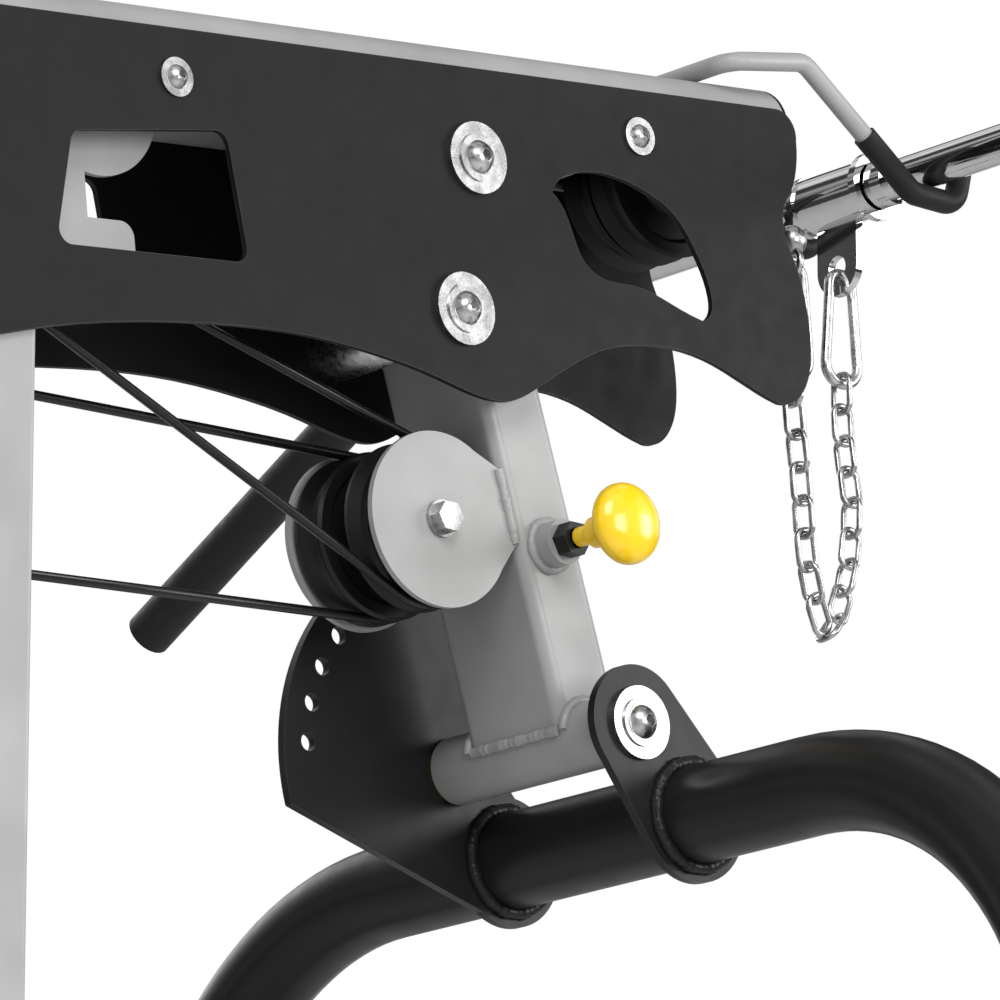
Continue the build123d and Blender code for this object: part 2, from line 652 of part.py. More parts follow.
def pop_pin():
    """Hex nut on the near boss, and the pin with its stem and domed knob."""
    x, z = PIN
    face = -BOSS_OUT[-1]
    nut = hex_y(x, z, 19, face - 11, face) - rod_y(x, z, 6.6, face - 12, face + 1)
    save("pop_pin_nut", nut)
    tip = SIDE_IN - FIT
    pin = rod_y(x, z, PIN_R, face - 21, tip)
    save("pop_pin_shaft", pin)
    y0 = face - 13
    profile = [(PIN_R, 0), (6.2, 0), (6.2, 12), (9.5, 13), (10.5, 22), (13.5, 31), (22, 36), (KNOB_R, 40)]
    dome = []
    for k in range(7):
        angle = math.radians(90 * k / 6)
        dome.append((KNOB_R * math.cos(angle), 43 + 11 * math.sin(angle)))
    dome[-1] = (0, 54)
    outline = [(r, -d) for r, d in profile + dome] + [(0, -8), (PIN_R, -8)]
    knob = revolve(make_face(Polyline(*outline, close=True)), Axis.Y)
    knob = Pos(x, y0, z) * knob
    save("pop_pin_knob", knob)


def handle_parts():
    """Handle tube, sector and lug plates, pivot bolt, grips and end caps."""
    hx, hz = HANDLE
    end_y = HANDLE_HALF + HANDLE_BEND
    low = hz - HANDLE_BEND - HANDLE_DROP
    path = FilletPolyline((hx, -end_y, low), (hx, -end_y, hz), (hx, end_y, hz), (hx, end_y, low), radius=HANDLE_BEND)
    start = Plane(origin=(hx, -end_y, low), z_dir=(0, 0, 1))
    tube = sweep(start * (Circle(HANDLE_R) - Circle(HANDLE_R - HANDLE_WALL)), path=path)
    grip_z = low + 40
    bars = []
    grips = []
    caps = []
    for side in (-1, 1):
        y = side * end_y
        inner = y - side * HANDLE_R
        bars.append(rod_y(hx, grip_z, 12, inner - side * HANDLE_BAR, inner + side * 2) - rod_z(hx, y, HANDLE_R - 1, low, hz))
        grips.append(ring_y(hx, grip_z, 16, 12, inner - side * (HANDLE_BAR + 2), inner - side * 8))
        caps.append(rod_z(hx, y, HANDLE_R, low - 4, low) + rod_z(hx, y, HANDLE_R - HANDLE_WALL, low, low + 16))
    save("handle_tube", tube + bars)
    save("handle_grips", grips)
    save("handle_end_caps", caps)
    sector = slab(sector_face(), SIDE_IN, SIDE_IN + SIDE_T)
    for k in range(HOLE_COUNT):
        angle = math.radians(HOLE_START + k * HOLE_STEP)
        sector -= rod_y(
            CROSS[0] + HOLE_R * math.cos(angle), CROSS[1] + HOLE_R * math.sin(angle), PIN_R + 0.6,
            SIDE_IN - 1, SIDE_IN + SIDE_T + 1,
        )
    save("sector_plate", trim_side(sector))
    save("lug_plate", trim_side(slab(lug_face(), -SIDE_IN - SIDE_T, -SIDE_IN)))
    x, z = CROSS
    out = SIDE_IN + SIDE_T
    near = washer_bolt(x, z, -out, -1, 0, 12)
    far = washer_bolt(x, z, out, 1, 0, 12)
    save("handle_pivot_bolt", near + far)


def trim_side(plate):
    """Bore a side plate for the pivot bolt and the handle tube."""
    plate -= rod_y(*CROSS, 12.0, -90, 90)
    return plate - rod_y(*HANDLE, HANDLE_R, -90, 90)


def sector_face():
    """Sector plate: a wide arc round the pivot and a rounded lug round the handle tube."""
    x, z = CROSS
    hx, hz = HANDLE
    r = HOLE_R + 19
    arc = Pos(x, z) * (Circle(r) & Polygon(
        (0, 0), (-200, -62), (-200, 200), (60, 200), align=None))
    lug = Pos(hx, hz) * Circle(HANDLE_R + 11)
    hub = Pos(x, z) * Circle(34)
    low = math.radians(197.3)
    web = Polygon(
        (x + r * math.cos(low), z + r * math.sin(low)), (hx - 22, hz - 34.5), (hx + 41, hz + 3),
        (x + 33, z + 8), (x + 31, z + 118), (x, z + 60), (x - 60, z), align=None,
    )
    return arc + lug + hub + web


def lug_face():
    """Egg-shaped lug plate round the pivot and the handle tube."""
    x, z = CROSS
    hx, hz = HANDLE
    return make_hull((Pos(x, z) * Circle(36)).edges() + (Pos(hx, hz) * Circle(HANDLE_R + 11)).edges())


# ---- lat bar ------------------------------------------------------------
BAR_C = (BAR_X, BAR_Y, STOP_BOLT_Z + BAR_Z)
BAR_FRAME = Pos(*BAR_C) * Rot(0, 0, -BAR_YAW)


def lat_bar_parts():
    """Chrome bar with angled ends, grips, and a sleeve with a flat tongue."""
    down = math.radians(BAR_DROP)
    tip_y = BAR_HALF + BAR_END * math.cos(down)
    tip_z = -BAR_END * math.sin(down)
    path = FilletPolyline((0, -tip_y, tip_z), (0, -BAR_HALF, 0), (0, BAR_HALF, 0), (0, tip_y, tip_z), radius=70)
    start = Plane(origin=path @ 0, z_dir=path % 0)
    bar = sweep(start * Circle(BAR_R), path=path)
    collars = ring_y(0, 0, 16, BAR_R, -54, -40) + ring_y(0, 0, 16, BAR_R, 31, 37)
    save("lat_bar", BAR_FRAME * (bar + collars))
    grips = []
    for side in (-1, 1):
        a = (0, side * (BAR_HALF + 45 * math.cos(down)), -45 * math.sin(down))
        b = (0, side * (tip_y + 6 * math.cos(down)), tip_z - 6 * math.sin(down))
        plane = Plane(origin=a, z_dir=Vector(*b) - Vector(*a))
        sleeve = extrude(plane * Circle(16.5), (Vector(*b) - Vector(*a)).length)
        core = extrude(plane * Circle(BAR_R), BAR_END - 45)
        grips.append(BAR_FRAME * (sleeve - core))
    save("lat_bar_grips", grips)
    sleeve = ring_y(0, 0, 19, BAR_R + 0.1, -32, 24) + ring_y(0, 0, 22.5, BAR_R + 0.1, -38, -32)
    sleeve += ring_y(0, 0, 20.5, BAR_R + 0.1, 24, 29)
    tongue = box(-2.8, 2.8, -18.5, 18.5, -TONGUE_DROP, -14) + Pos(0, 0, -TONGUE_DROP) * Rot(
        0, 90, 0) * Cylinder(18.5, 5.6)
    tongue = tongue - rod_y(0, 0, 15, -40, 40)
    hole = Pos(0, 0, -TONGUE_DROP) * Rot(0, 90, 0) * Cylinder(TONGUE_HOLE_R, 20)
    save("bar_swivel", BAR_FRAME * (sleeve + tongue - hole))


# ---- chain --------------------------------------------------------------


def ring_solid(length, wide_top, wide_low, r):
    """Closed ring of round wire in X and Z, its top at the origin, made of two mirrored halves."""
    halves = []
    for side in (-1, 1):
        top = side * wide_top / 2
        low = side * wide_low / 2
        path = FilletPolyline(
            (0, 0, 0), (top, 0, 0), (low, 0, -length), (0, 0, -length),
            radius=[wide_top * 0.46, wide_low * 0.42],
        )
        plane = Plane(origin=path @ 0, z_dir=path % 0)
        halves.append(sweep(plane * Circle(r), path=path))
    return halves[0] + halves[1]


CABLE_END = boom_point(*BALL)
EYE_DROP = BALL_R + 4.5
SNAP_RUN = SNAP_L - 2 * SNAP_WIRE
LINK_SEAT = SNAP_WIRE + WIRE / 2 + FIT
CABLE_SNAP_TOP = CABLE_END[1] - EYE_DROP - (EYE_R - EYE_WIRE - SNAP_WIRE - FIT)
BAR_SNAP_TOP = STOP_BOLT_Z + BAR_Z - TONGUE_DROP - (TONGUE_HOLE_R - SNAP_WIRE - FIT)


def chain_path():
    """Centre line of the chain: down from the cable's snap hook and up to the bar's."""
    seat = LINK_SEAT - (LINK_PITCH + WIRE) / 2
    a = (CABLE_END[0], -PULLEY_Y, CABLE_SNAP_TOP - SNAP_RUN + seat)
    b = (BAR_X, BAR_Y, BAR_SNAP_TOP - SNAP_RUN + seat)
    low_x = (a[0] + b[0]) / 2 + 6
    low_z = STOP_BOLT_Z - CHAIN_DROP
    return Spline(
        a, (a[0] + 8, -10, a[2] - 58), (low_x - CHAIN_LOOP, 0, low_z + CHAIN_LOOP), (low_x, 4, low_z),
        (low_x + CHAIN_LOOP, 8, low_z + CHAIN_LOOP), (b[0] + 2, 15, b[2] - 66), b,
        tangents=[(0, 0, -1), (0, 0, 1)],
    )


def chain_parts():
    """Two snap hooks and the chain that hangs between them."""
    snap = ring_solid(SNAP_RUN, 18, 30, SNAP_WIRE)
    save("bar_snap_hook", Pos(BAR_X, BAR_Y, BAR_SNAP_TOP) * snap)
    save("cable_snap_hook", Pos(CABLE_END[0], -PULLEY_Y, CABLE_SNAP_TOP) * snap)
    path = chain_path()
    spacing = path.length / LINK_COUNT
    half = (spacing + FIT + WIRE) / 2
    wide = LINK_WIDE - WIRE
    link = Pos(0, 0, half) * ring_solid(2 * half, wide, wide, WIRE / 2)
    links = []
    for i in range(LINK_COUNT + 1):
        u = i / LINK_COUNT
        plane = Plane(origin=path @ u, x_dir=(0, 1, 0), z_dir=path % u)
        links.append(plane.location * Rot(0, 0, 90 * (i % 2)) * link)
    print("chain", round(path.length, 1), "spacing", round(spacing, 2))
    save("chain", links)


# ---- cables -------------------------------------------------------------
def belt_points(stops):
    """Tangent points of a cable that passes round pulleys in one X-Z plane.

    Each stop is (x, z, r); r is positive where the cable turns to its left and 0 at an end.
    """
    spans = []
    for (x1, z1, r1), (x2, z2, r2) in zip(stops, stops[1:]):
        dist = math.dist((x1, z1), (x2, z2))
        angle = math.atan2(z2 - z1, x2 - x1) - math.asin((r2 - r1) / dist)
        nx, nz = -math.sin(angle), math.cos(angle)
        spans.append(((x1 - r1 * nx, z1 - r1 * nz), (x2 - r2 * nx, z2 - r2 * nz)))
    return spans


def belt_cable(stops, y):
    """Cable along straight runs and arcs round its pulleys, at one Y."""
    spans = belt_points(stops)
    edges = []
    for i, (p, q) in enumerate(spans):
        edges.append(Line((p[0], y, p[1]), (q[0], y, q[1])))
        if i + 1 < len(spans):
            cx, cz, r = stops[i + 1]
            nxt = spans[i + 1][0]
            a0 = math.atan2(q[1] - cz, q[0] - cx)
            a1 = math.atan2(nxt[1] - cz, nxt[0] - cx)
            if r > 0 and a1 < a0:
                a1 += 2 * math.pi
            if r < 0 and a1 > a0:
                a1 -= 2 * math.pi
            mid = (a0 + a1) / 2
            via = (cx + abs(r) * math.cos(mid), y, cz + abs(r) * math.sin(mid))
            edges.append(ThreePointArc((q[0], y, q[1]), via, (nxt[0], y, nxt[1])))
    wire = Wire(edges)
    plane = Plane(origin=wire @ 0, z_dir=wire % 0)
    return sweep(plane * Circle(CABLE_R), path=wire)


HEAD_TOP = WEIGHT_BASE + WEIGHT_COUNT * WEIGHT_T + TOP_PLATE_T + 26.0


def cable_parts():
    """Lat cable with its end ball, two press cables and their anchors."""
    r = groove_r(PULLEY_R)
    x0, z0, slope = strand_line(NEAR_UPPER_RISE, False)
    near_anchor = (ANCHOR_X + 8, z0 + slope * (x0 - ANCHOR_X - 8))
    x0, z0, slope = strand_line(FAR_LOWER_RISE, True)
    far_anchor = (ANCHOR_X + 8, z0 + slope * (x0 - ANCHOR_X - 8))
    near = belt_cable(
        [(*near_anchor, 0), (*PRESS_AXLE, -r), (*NEAR_STACK_AXLE, r), (STACK_X, HEAD_TOP, 0)], -PRESS_PULLEY_Y
    )
    save("press_cable_near", near)
    far = belt_cable(
        [(*far_anchor, 0), (*PRESS_AXLE, r), (*FAR_STACK_AXLE, r), (STACK_X, HEAD_TOP, 0)], PRESS_PULLEY_Y
    )
    save("press_cable_far", far)
    wx, wz = boom_point(*WINDOW_AXLE)
    spans = belt_points([
        (*boom_point(*BALL), 0), (wx, wz, groove_r(WINDOW_R)), (*LAT_STACK_AXLE, groove_r(REAR_R)),
        (STACK_X, HEAD_TOP, 0),
    ])
    corners = [meet(spans[0], spans[1]), meet(spans[1], spans[2])]
    first = spans[0][0]
    path = FilletPolyline(
        (first[0], -PULLEY_Y, first[1]), (corners[0][0], -PULLEY_Y, corners[0][1]),
        (corners[1][0], 0, corners[1][1]), (STACK_X, 0, HEAD_TOP),
        radius=[groove_r(WINDOW_R), groove_r(REAR_R)],
    )
    plane = Plane(origin=path @ 0, z_dir=path % 0)
    lat = sweep(plane * Circle(CABLE_R), path=path)
    ball = Pos(CABLE_END[0], -PULLEY_Y, CABLE_END[1]) * Sphere(BALL_R)
    save("lat_cable", lat - ball)
    eye = Pos(CABLE_END[0], -PULLEY_Y, CABLE_END[1] - EYE_DROP) * Rot(0, 90, 0) * Torus(EYE_R, EYE_WIRE)
    save("cable_ball", ball + eye)
    anchors = []
    for (x, z), side in ((near_anchor, -1), (far_anchor, 1)):
        bolt = rod_y(x - 8, z, 8, -POST_GAP, POST_GAP) + rod_y(x - 8, z, 13, side * 13, side * 31)
        anchors.append(bolt - (near if side < 0 else far))
    save("cable_anchors", anchors)


def meet(span_a, span_b):
    """Point where two straight spans meet when both are made longer."""
    (x1, z1), (x2, z2) = span_a
    (x3, z3), (x4, z4) = span_b
    det = (x1 - x2) * (z3 - z4) - (z1 - z2) * (x3 - x4)
    a = x1 * z2 - z1 * x2
    b = x3 * z4 - z3 * x4
    return ((a * (x3 - x4) - (x1 - x2) * b) / det, (a * (z3 - z4) - (z1 - z2) * b) / det)


# ---- uprights, stack and seat ------------------------------------------
POST_GAP = PLATE_IN - POST_Y


def uprights():
    """Two posts in front of the stack and one rear mast, cut to the boom's underside."""
    solid = BOOM_FRAME * boom_outer(BOOM_REAR - 10, BOOM_FRONT)
    top = STOP_BOLT_Z + 140
    posts = []
    for side in (-1, 1):
        y0, y1 = sorted((side * POST_GAP, side * PLATE_IN))
        post = rect_tube_z(POST_FRONT - POST_X, POST_FRONT, y0, y1, BASE_H, top, 2.5, 4)
        posts.append((post - solid).solids().sort_by(Axis.Z)[0])
    for z in (BACK_LOW + 110, BACK_LOW + BACK_H - 110):
        posts.append(box(POST_FRONT, POST_FRONT + BACK_GAP, -PLATE_IN, PLATE_IN, z - 25, z + 25))
    save("upright_posts", posts)
    mast = rect_tube_z(BASE_REAR, BASE_REAR + MAST_X, -MAST_Y / 2, MAST_Y / 2, BASE_H, top, 3, 6)
    save("rear_mast", (mast - solid).solids().sort_by(Axis.Z)[0])


def weight_stack():
    """Guide rods, cushions, plates, selector stem and pin."""
    solid = BOOM_FRAME * boom_outer(BOOM_REAR, BOOM_FRONT)
    rods = []
    cushions = []
    xs = (STACK_X - ROD_PITCH / 2, STACK_X + ROD_PITCH / 2)
    for x in xs:
        rod = rod_z(x, 0, ROD_R, BASE_H, STOP_BOLT_Z + 120) - solid
        rods.append(rod.solids().sort_by(Axis.Z)[0])
        cushions.append(rod_z(x, 0, 19, BASE_H, WEIGHT_BASE) - rod_z(x, 0, ROD_R, 0, 500))
    save("guide_rods", rods)
    save("rod_cushions", cushions)
    lower = []
    upper = []
    for i in range(WEIGHT_COUNT):
        z = WEIGHT_BASE + i * WEIGHT_T
        plate = weight_plate(z, WEIGHT_T, STEM_R + 1.5)
        plate -= rod_y(STACK_X, z + WEIGHT_T / 2, 6.0, -80, 80)
        if i < WEIGHT_COUNT - SELECTED:
            lower.append(plate)
        else:
            upper.append(plate)
    save("resting_plates", lower)
    z = WEIGHT_BASE + WEIGHT_COUNT * WEIGHT_T
    top = weight_plate(z, TOP_PLATE_T, STEM_R)
    save("lifted_plates", upper + [top])
    stem = rod_z(STACK_X, 0, STEM_R, WEIGHT_BASE + 20, z + TOP_PLATE_T)
    head = fillet(
        box(STACK_X - 20, STACK_X + 20, -35, 35, z + TOP_PLATE_T, HEAD_TOP).edges().filter_by(Axis.Z), 6)
    for i in range(WEIGHT_COUNT):
        stem -= rod_y(STACK_X, WEIGHT_BASE + i * WEIGHT_T + WEIGHT_T / 2, 5.6, -80, 80)
    save("selector_stem", stem + head)
    pin_z = WEIGHT_BASE + (WEIGHT_COUNT - SELECTED) * WEIGHT_T + WEIGHT_T / 2
    shaft = rod_y(STACK_X, pin_z, 5.0, -WEIGHT_W / 2 - 6, 16)
    head = rod_y(STACK_X, pin_z, 15, -WEIGHT_W / 2 - 30, -WEIGHT_W / 2 - 4)
    head = fillet(head.edges().filter_by(GeomType.CIRCLE), 3)
    save("selector_pin", shaft + head)


def weight_plate(z, thick, stem_r):
    """One weight plate with holes for the guide rods and the stem."""
    face = Pos(STACK_X, 0) * RectangleRounded(WEIGHT_L, WEIGHT_W, 10)
    plate = extrude(Plane.XY.offset(z) * face, thick)
    plate = chamfer(plate.faces().sort_by(Axis.Z)[-1].outer_wire().edges(), 1.5)
    for x in (STACK_X - ROD_PITCH / 2, STACK_X + ROD_PITCH / 2):
        plate -= rod_z(x, 0, ROD_R + ROD_CLEAR, z - 1, z + thick + 1)
    return plate - rod_z(STACK_X, 0, stem_r, z - 1, z + thick + 1)


def seat_parts():
    """Fixed sleeve, sliding seat post with its carrier, seat pad, back pad and its brackets."""
    half = SLEEVE_W / 2
    sleeve = rect_tube_z(SEAT_X - half, SEAT_X + half, -half, half, BASE_H, SLEEVE_TOP, 3.0, 6)
    sleeve -= rod_y(SEAT_X, SLEEVE_TOP - 40, 6, -40, 0)
    roller = rect_tube_z(ROLLER_X - 30, ROLLER_X + 30, -30, 30, BASE_H, 330, 3.0, 6)
    save("post_sleeves", [sleeve, roller])
    half = INNER_W / 2
    under = SEAT_TOP - SEAT_T
    post = rect_tube_z(SEAT_X - half, SEAT_X + half, -half, half, BASE_H + 60, under - 6, 2.5, 3)
    plate = box(SEAT_X - 120, SEAT_X + 120, -60, 60, under - 6, under)
    save("seat_post", post + plate)
    pad = Pos(SEAT_X, 0, SEAT_TOP - SEAT_T / 2) * Box(SEAT_L, SEAT_W, SEAT_T)
    save("seat_pad", fillet(pad.edges().filter_by(Axis.Z), 45))
    x1 = POST_FRONT + BACK_GAP
    pad = Pos(x1 + BACK_T / 2, 0, BACK_LOW + BACK_H / 2) * Box(BACK_T, BACK_W, BACK_H)
    save("back_pad", fillet(pad.edges().filter_by(Axis.X), 45))


def roller_parts():
    """Thigh-roller post with a cross axle and two foam rollers."""
    post = rect_tube_z(ROLLER_X - 25, ROLLER_X + 25, -25, 25, BASE_H + 60, ROLLER_Z + 25, 2.5, 4)
    out = 25 + 14 + ROLLER_L + 8
    axle = rod_y(ROLLER_X, ROLLER_Z, ROLLER_AXLE_R, -out, out)
    flanges = []
    for side in (-1, 1):
        flanges.append(ring_y(ROLLER_X, ROLLER_Z, 26, ROLLER_AXLE_R, side * 25, side * 37))
        flanges.append(rod_y(ROLLER_X, ROLLER_Z, 26, side * (out - 6), side * out))
    save("roller_post", post + axle + flanges)
    for name, side in (("thigh_roller_near", -1), ("thigh_roller_far", 1)):
        roll = ring_y(ROLLER_X, ROLLER_Z, ROLLER_R, ROLLER_AXLE_R + FIT, side * 38, side * (38 + ROLLER_L))
        save(name, roll)


def main():
    """Build every node."""
    os.makedirs("parts", exist_ok=True)
    base_parts()
    boom_parts()
    button_bolts()
    big_bolts()
    hook_parts()
    inner_bracket()
    stack_pulleys()
    disc_bracket()
    press_upright()
    arm_fittings()
    pop_pin()
    handle_parts()
    lat_bar_parts()
    chain_parts()
    cable_parts()
    uprights()
    weight_stack()
    seat_parts()
    roller_parts()


main()
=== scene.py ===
"""Looks of a lat pulldown machine: finishes, padding, foam, welds, light and camera."""

import json
import logging
import math
from dataclasses import dataclass, field
from enum import Enum
from typing import Dict, List, Optional, Sequence, Tuple, Union

import bpy
from mathutils import Matrix, Vector

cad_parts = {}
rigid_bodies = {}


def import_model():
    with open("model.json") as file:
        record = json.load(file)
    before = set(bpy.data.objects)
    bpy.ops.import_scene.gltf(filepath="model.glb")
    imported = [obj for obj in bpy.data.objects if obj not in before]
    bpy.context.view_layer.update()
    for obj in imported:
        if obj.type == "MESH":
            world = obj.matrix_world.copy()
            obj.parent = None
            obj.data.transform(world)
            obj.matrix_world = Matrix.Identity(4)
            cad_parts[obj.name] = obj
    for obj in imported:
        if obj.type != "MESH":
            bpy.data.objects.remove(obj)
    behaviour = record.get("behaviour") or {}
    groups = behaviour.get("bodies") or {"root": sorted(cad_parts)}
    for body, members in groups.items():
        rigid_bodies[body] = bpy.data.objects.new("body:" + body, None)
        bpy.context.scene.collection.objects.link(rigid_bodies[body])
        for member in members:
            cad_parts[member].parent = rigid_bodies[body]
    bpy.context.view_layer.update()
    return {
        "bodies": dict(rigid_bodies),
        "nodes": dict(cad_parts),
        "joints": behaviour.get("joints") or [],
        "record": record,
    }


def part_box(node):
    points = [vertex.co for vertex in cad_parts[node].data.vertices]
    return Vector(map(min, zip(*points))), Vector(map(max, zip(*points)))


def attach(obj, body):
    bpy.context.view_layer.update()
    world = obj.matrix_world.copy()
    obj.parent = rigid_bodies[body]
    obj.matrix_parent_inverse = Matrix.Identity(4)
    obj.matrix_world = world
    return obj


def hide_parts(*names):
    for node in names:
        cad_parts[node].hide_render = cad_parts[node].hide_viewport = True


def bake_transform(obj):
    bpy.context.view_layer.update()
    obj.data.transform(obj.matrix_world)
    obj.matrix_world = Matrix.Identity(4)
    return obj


LOG = logging.getLogger("pulldown")
Point = Tuple[float, float, float]
Colour = Tuple[float, float, float]


class Slot(Enum):
    """Finishes named as the record's material slots."""

    BLACK_POWDER = "black_powder"
    GREY_PAINT = "grey_paint"
    BLACK_PAINT = "black_paint"
    ZINC = "zinc"
    CHROME = "chrome"
    RUBBER = "black_rubber"
    NYLON = "black_nylon"
    CABLE = "cable_coat"
    YELLOW = "yellow_plastic"
    BRASS = "brass"
    IRON = "plate_iron"
    VINYL = "vinyl"
    FOAM = "foam"


class Graph:
    """Short way to add and join the nodes of one material."""

    PATTERN_RANGE = (0.3, 0.7)
    EDGE_RANGE = (0.97, 0.80)
    MIX_FACTOR, MIX_FIRST, MIX_SECOND, MIX_RESULT = 0, 6, 7, 2

    def __init__(self, name: str) -> None:
        """Start a material with a Principled shader and object coordinates.

        Args:
            name: name of the new material.
        """
        self.material = bpy.data.materials.new(name)
        self.material.use_nodes = True
        self.tree = self.material.node_tree
        self.shader = self.tree.nodes["Principled BSDF"]
        self.coords = self.tree.nodes.new("ShaderNodeTexCoord").outputs["Object"]

    def add(self, kind: str, **values: object) -> bpy.types.Node:
        """Add one node and set its properties.

        Args:
            kind: node type's name.
            **values: properties of the node.

        Returns:
            The new node.
        """
        node = self.tree.nodes.new(kind)
        for key, value in values.items():
            setattr(node, key, value)
        return node

    def link(self, source: bpy.types.NodeSocket, target: bpy.types.NodeSocket) -> None:
        """Join an output to an input."""
        self.tree.links.new(source, target)

    def noise(self, scale: float, detail: float = 3.0) -> bpy.types.NodeSocket:
        """Add a noise pattern on the object's own coordinates.

        Args:
            scale: how many features to a metre.
            detail: octaves of the noise.

        Returns:
            The noise's factor output.
        """
        node = self.add("ShaderNodeTexNoise")
        node.inputs["Scale"].default_value = scale
        node.inputs["Detail"].default_value = detail
        self.link(self.coords, node.inputs["Vector"])
        return node.outputs["Fac"]

    def cells(self, scale: float, feature: str = "F1") -> bpy.types.NodeSocket:
        """Add a cell pattern on the object's own coordinates.

        Args:
            scale: how many cells to a metre.
            feature: which distance the cells give.

        Returns:
            The pattern's distance output.
        """
        node = self.add("ShaderNodeTexVoronoi", feature=feature)
        node.inputs["Scale"].default_value = scale
        self.link(self.coords, node.inputs["Vector"])
        return node.outputs["Distance"]

    def ramp(self, source: bpy.types.NodeSocket, stops: Sequence[Tuple[float, Colour]]) -> bpy.types.NodeSocket:
        """Turn a value into colours.

        Args:
            source: the value.
            stops: position and colour of each stop.

        Returns:
            The colour output.
        """
        node = self.add("ShaderNodeValToRGB")
        self.link(source, node.inputs["Fac"])
        points = node.color_ramp.elements
        while len(points) < len(stops):
            points.new(0.5)
        for element, (place, colour) in zip(points, stops):
            element.position = place
            element.color = (*colour, 1.0)
        return node.outputs["Color"]

    def span(self, source: bpy.types.NodeSocket, low: float, high: float) -> bpy.types.NodeSocket:
        """Spread a pattern between two values.

        Args:
            source: the pattern.
            low: value where the pattern is weakest.
            high: value where it is strongest.

        Returns:
            The spread value.
        """
        node = self.add("ShaderNodeMapRange")
        node.inputs["From Min"].default_value, node.inputs["From Max"].default_value = self.PATTERN_RANGE
        node.inputs["To Min"].default_value = low
        node.inputs["To Max"].default_value = high
        self.link(source, node.inputs["Value"])
        return node.outputs["Result"]

    def bump(self, height: bpy.types.NodeSocket, depth: float, strength: float,
             below: Optional[bpy.types.NodeSocket] = None) -> bpy.types.NodeSocket:
        """Raise the surface by a pattern.

        Args:
            height: the pattern.
            depth: its depth in metres.
            strength: how strongly it shows.
            below: a bump under this one.

        Returns:
            The bent normal.
        """
        node = self.add("ShaderNodeBump")
        node.inputs["Distance"].default_value = depth
        node.inputs["Strength"].default_value = strength
        self.link(height, node.inputs["Height"])
        if below is not None:
            self.link(below, node.inputs["Normal"])
        self.link(node.outputs["Normal"], self.shader.inputs["Normal"])
        return node.outputs["Normal"]

    def edges(self, radius: float) -> bpy.types.NodeSocket:
        """Find the outer edges of a solid.

        Args:
            radius: width of the edge's band in metres.

        Returns:
            A value that is 1 on an edge and 0 away from it.
        """
        bevel = self.add("ShaderNodeBevel", samples=4)
        bevel.inputs["Radius"].default_value = radius
        flat = self.add("ShaderNodeNewGeometry")
        dot = self.add("ShaderNodeVectorMath", operation="DOT_PRODUCT")
        self.link(bevel.outputs["Normal"], dot.inputs[0])
        self.link(flat.outputs["Normal"], dot.inputs[1])
        band = self.add("ShaderNodeMapRange")
        band.inputs["From Min"].default_value, band.inputs["From Max"].default_value = self.EDGE_RANGE
        self.link(dot.outputs["Value"], band.inputs["Value"])
        return band.outputs["Result"]

    def mix(self, factor: bpy.types.NodeSocket, first: bpy.types.NodeSocket, second: Colour) -> bpy.types.NodeSocket:
        """Lay a second colour over the first.

        Args:
            factor: how much of the second shows.
            first: the colour below.
            second: the colour on top.

        Returns:
            The mixed colour.
        """
        node = self.add("ShaderNodeMix", data_type="RGBA")
        self.link(factor, node.inputs[self.MIX_FACTOR])
        self.link(first, node.inputs[self.MIX_FIRST])
        node.inputs[self.MIX_SECOND].default_value = (*second, 1.0)
        return node.outputs[self.MIX_RESULT]


@dataclass(frozen=True)
class PowderCoat:
    """Sprayed and baked coat with fine orange peel and a painted highlight on its cut edges, broken up by wear noise.
    """

    name: str
    colour: Colour
    roughness: Tuple[float, float]
    peel: float
    grain: float
    edge: float
    # pale colour of the painted edge highlight, partly also edge wear
    edge_highlight_colour: Colour
    specular: float
    shade: float = 0.08
    shade_scale: float = 14.0
    wear_scale: float = 180.0
    gloss_scale: float = 60.0

    def build(self) -> bpy.types.Material:
        """Make the material.

        Returns:
            The new material.
        """
        graph = Graph(self.name)
        lighter = tuple(c * (1 + self.shade) for c in self.colour)
        darker = tuple(c * (1 - self.shade) for c in self.colour)
        even = graph.ramp(graph.noise(self.shade_scale, 2.0), [(0.35, darker), (0.65, lighter)])
        # painted edge highlight: a pale colour laid on the edge band where the wear noise lets it show
        worn = graph.add("ShaderNodeMath", operation="MULTIPLY")
        graph.link(graph.edges(self.edge), worn.inputs[0])
        graph.link(graph.span(graph.noise(self.wear_scale, 4.0), 0.35, 0.9), worn.inputs[1])
        colour = graph.mix(worn.outputs[0], even, self.edge_highlight_colour)
        graph.link(colour, graph.shader.inputs["Base Color"])
        graph.link(graph.span(graph.noise(self.gloss_scale, 4.0), *self.roughness), graph.shader.inputs["Roughness"])
        graph.shader.inputs["Specular IOR Level"].default_value = self.specular
        under = graph.bump(graph.noise(self.grain, 2.0), 0.0002, self.peel)
        graph.bump(graph.noise(self.grain * 2.7, 1.0), 0.0001, self.peel, under)
        return graph.material


@dataclass(frozen=True)
class Metal:
    """Bare or plated metal with faint clouding and fine scratches."""

    name: str
    colour: Colour
    roughness: Tuple[float, float]
    cloud: float
    scratch: float
    cloud_scale: float = 90.0
    gloss_scale: float = 260.0
    scratch_scale: float = 700.0

    def build(self) -> bpy.types.Material:
        """Make the material.

        Returns:
            The new material.
        """
        graph = Graph(self.name)
        dull = tuple(c * (1 - self.cloud) for c in self.colour)
        colour = graph.ramp(graph.noise(self.cloud_scale, 5.0), [(0.38, dull), (0.62, self.colour)])
        graph.link(colour, graph.shader.inputs["Base Color"])
        graph.shader.inputs["Metallic"].default_value = 1.0
        graph.link(graph.span(graph.noise(self.gloss_scale, 4.0), *self.roughness), graph.shader.inputs["Roughness"])
        graph.bump(graph.noise(self.scratch_scale, 3.0), 0.0001, self.scratch)
        return graph.material


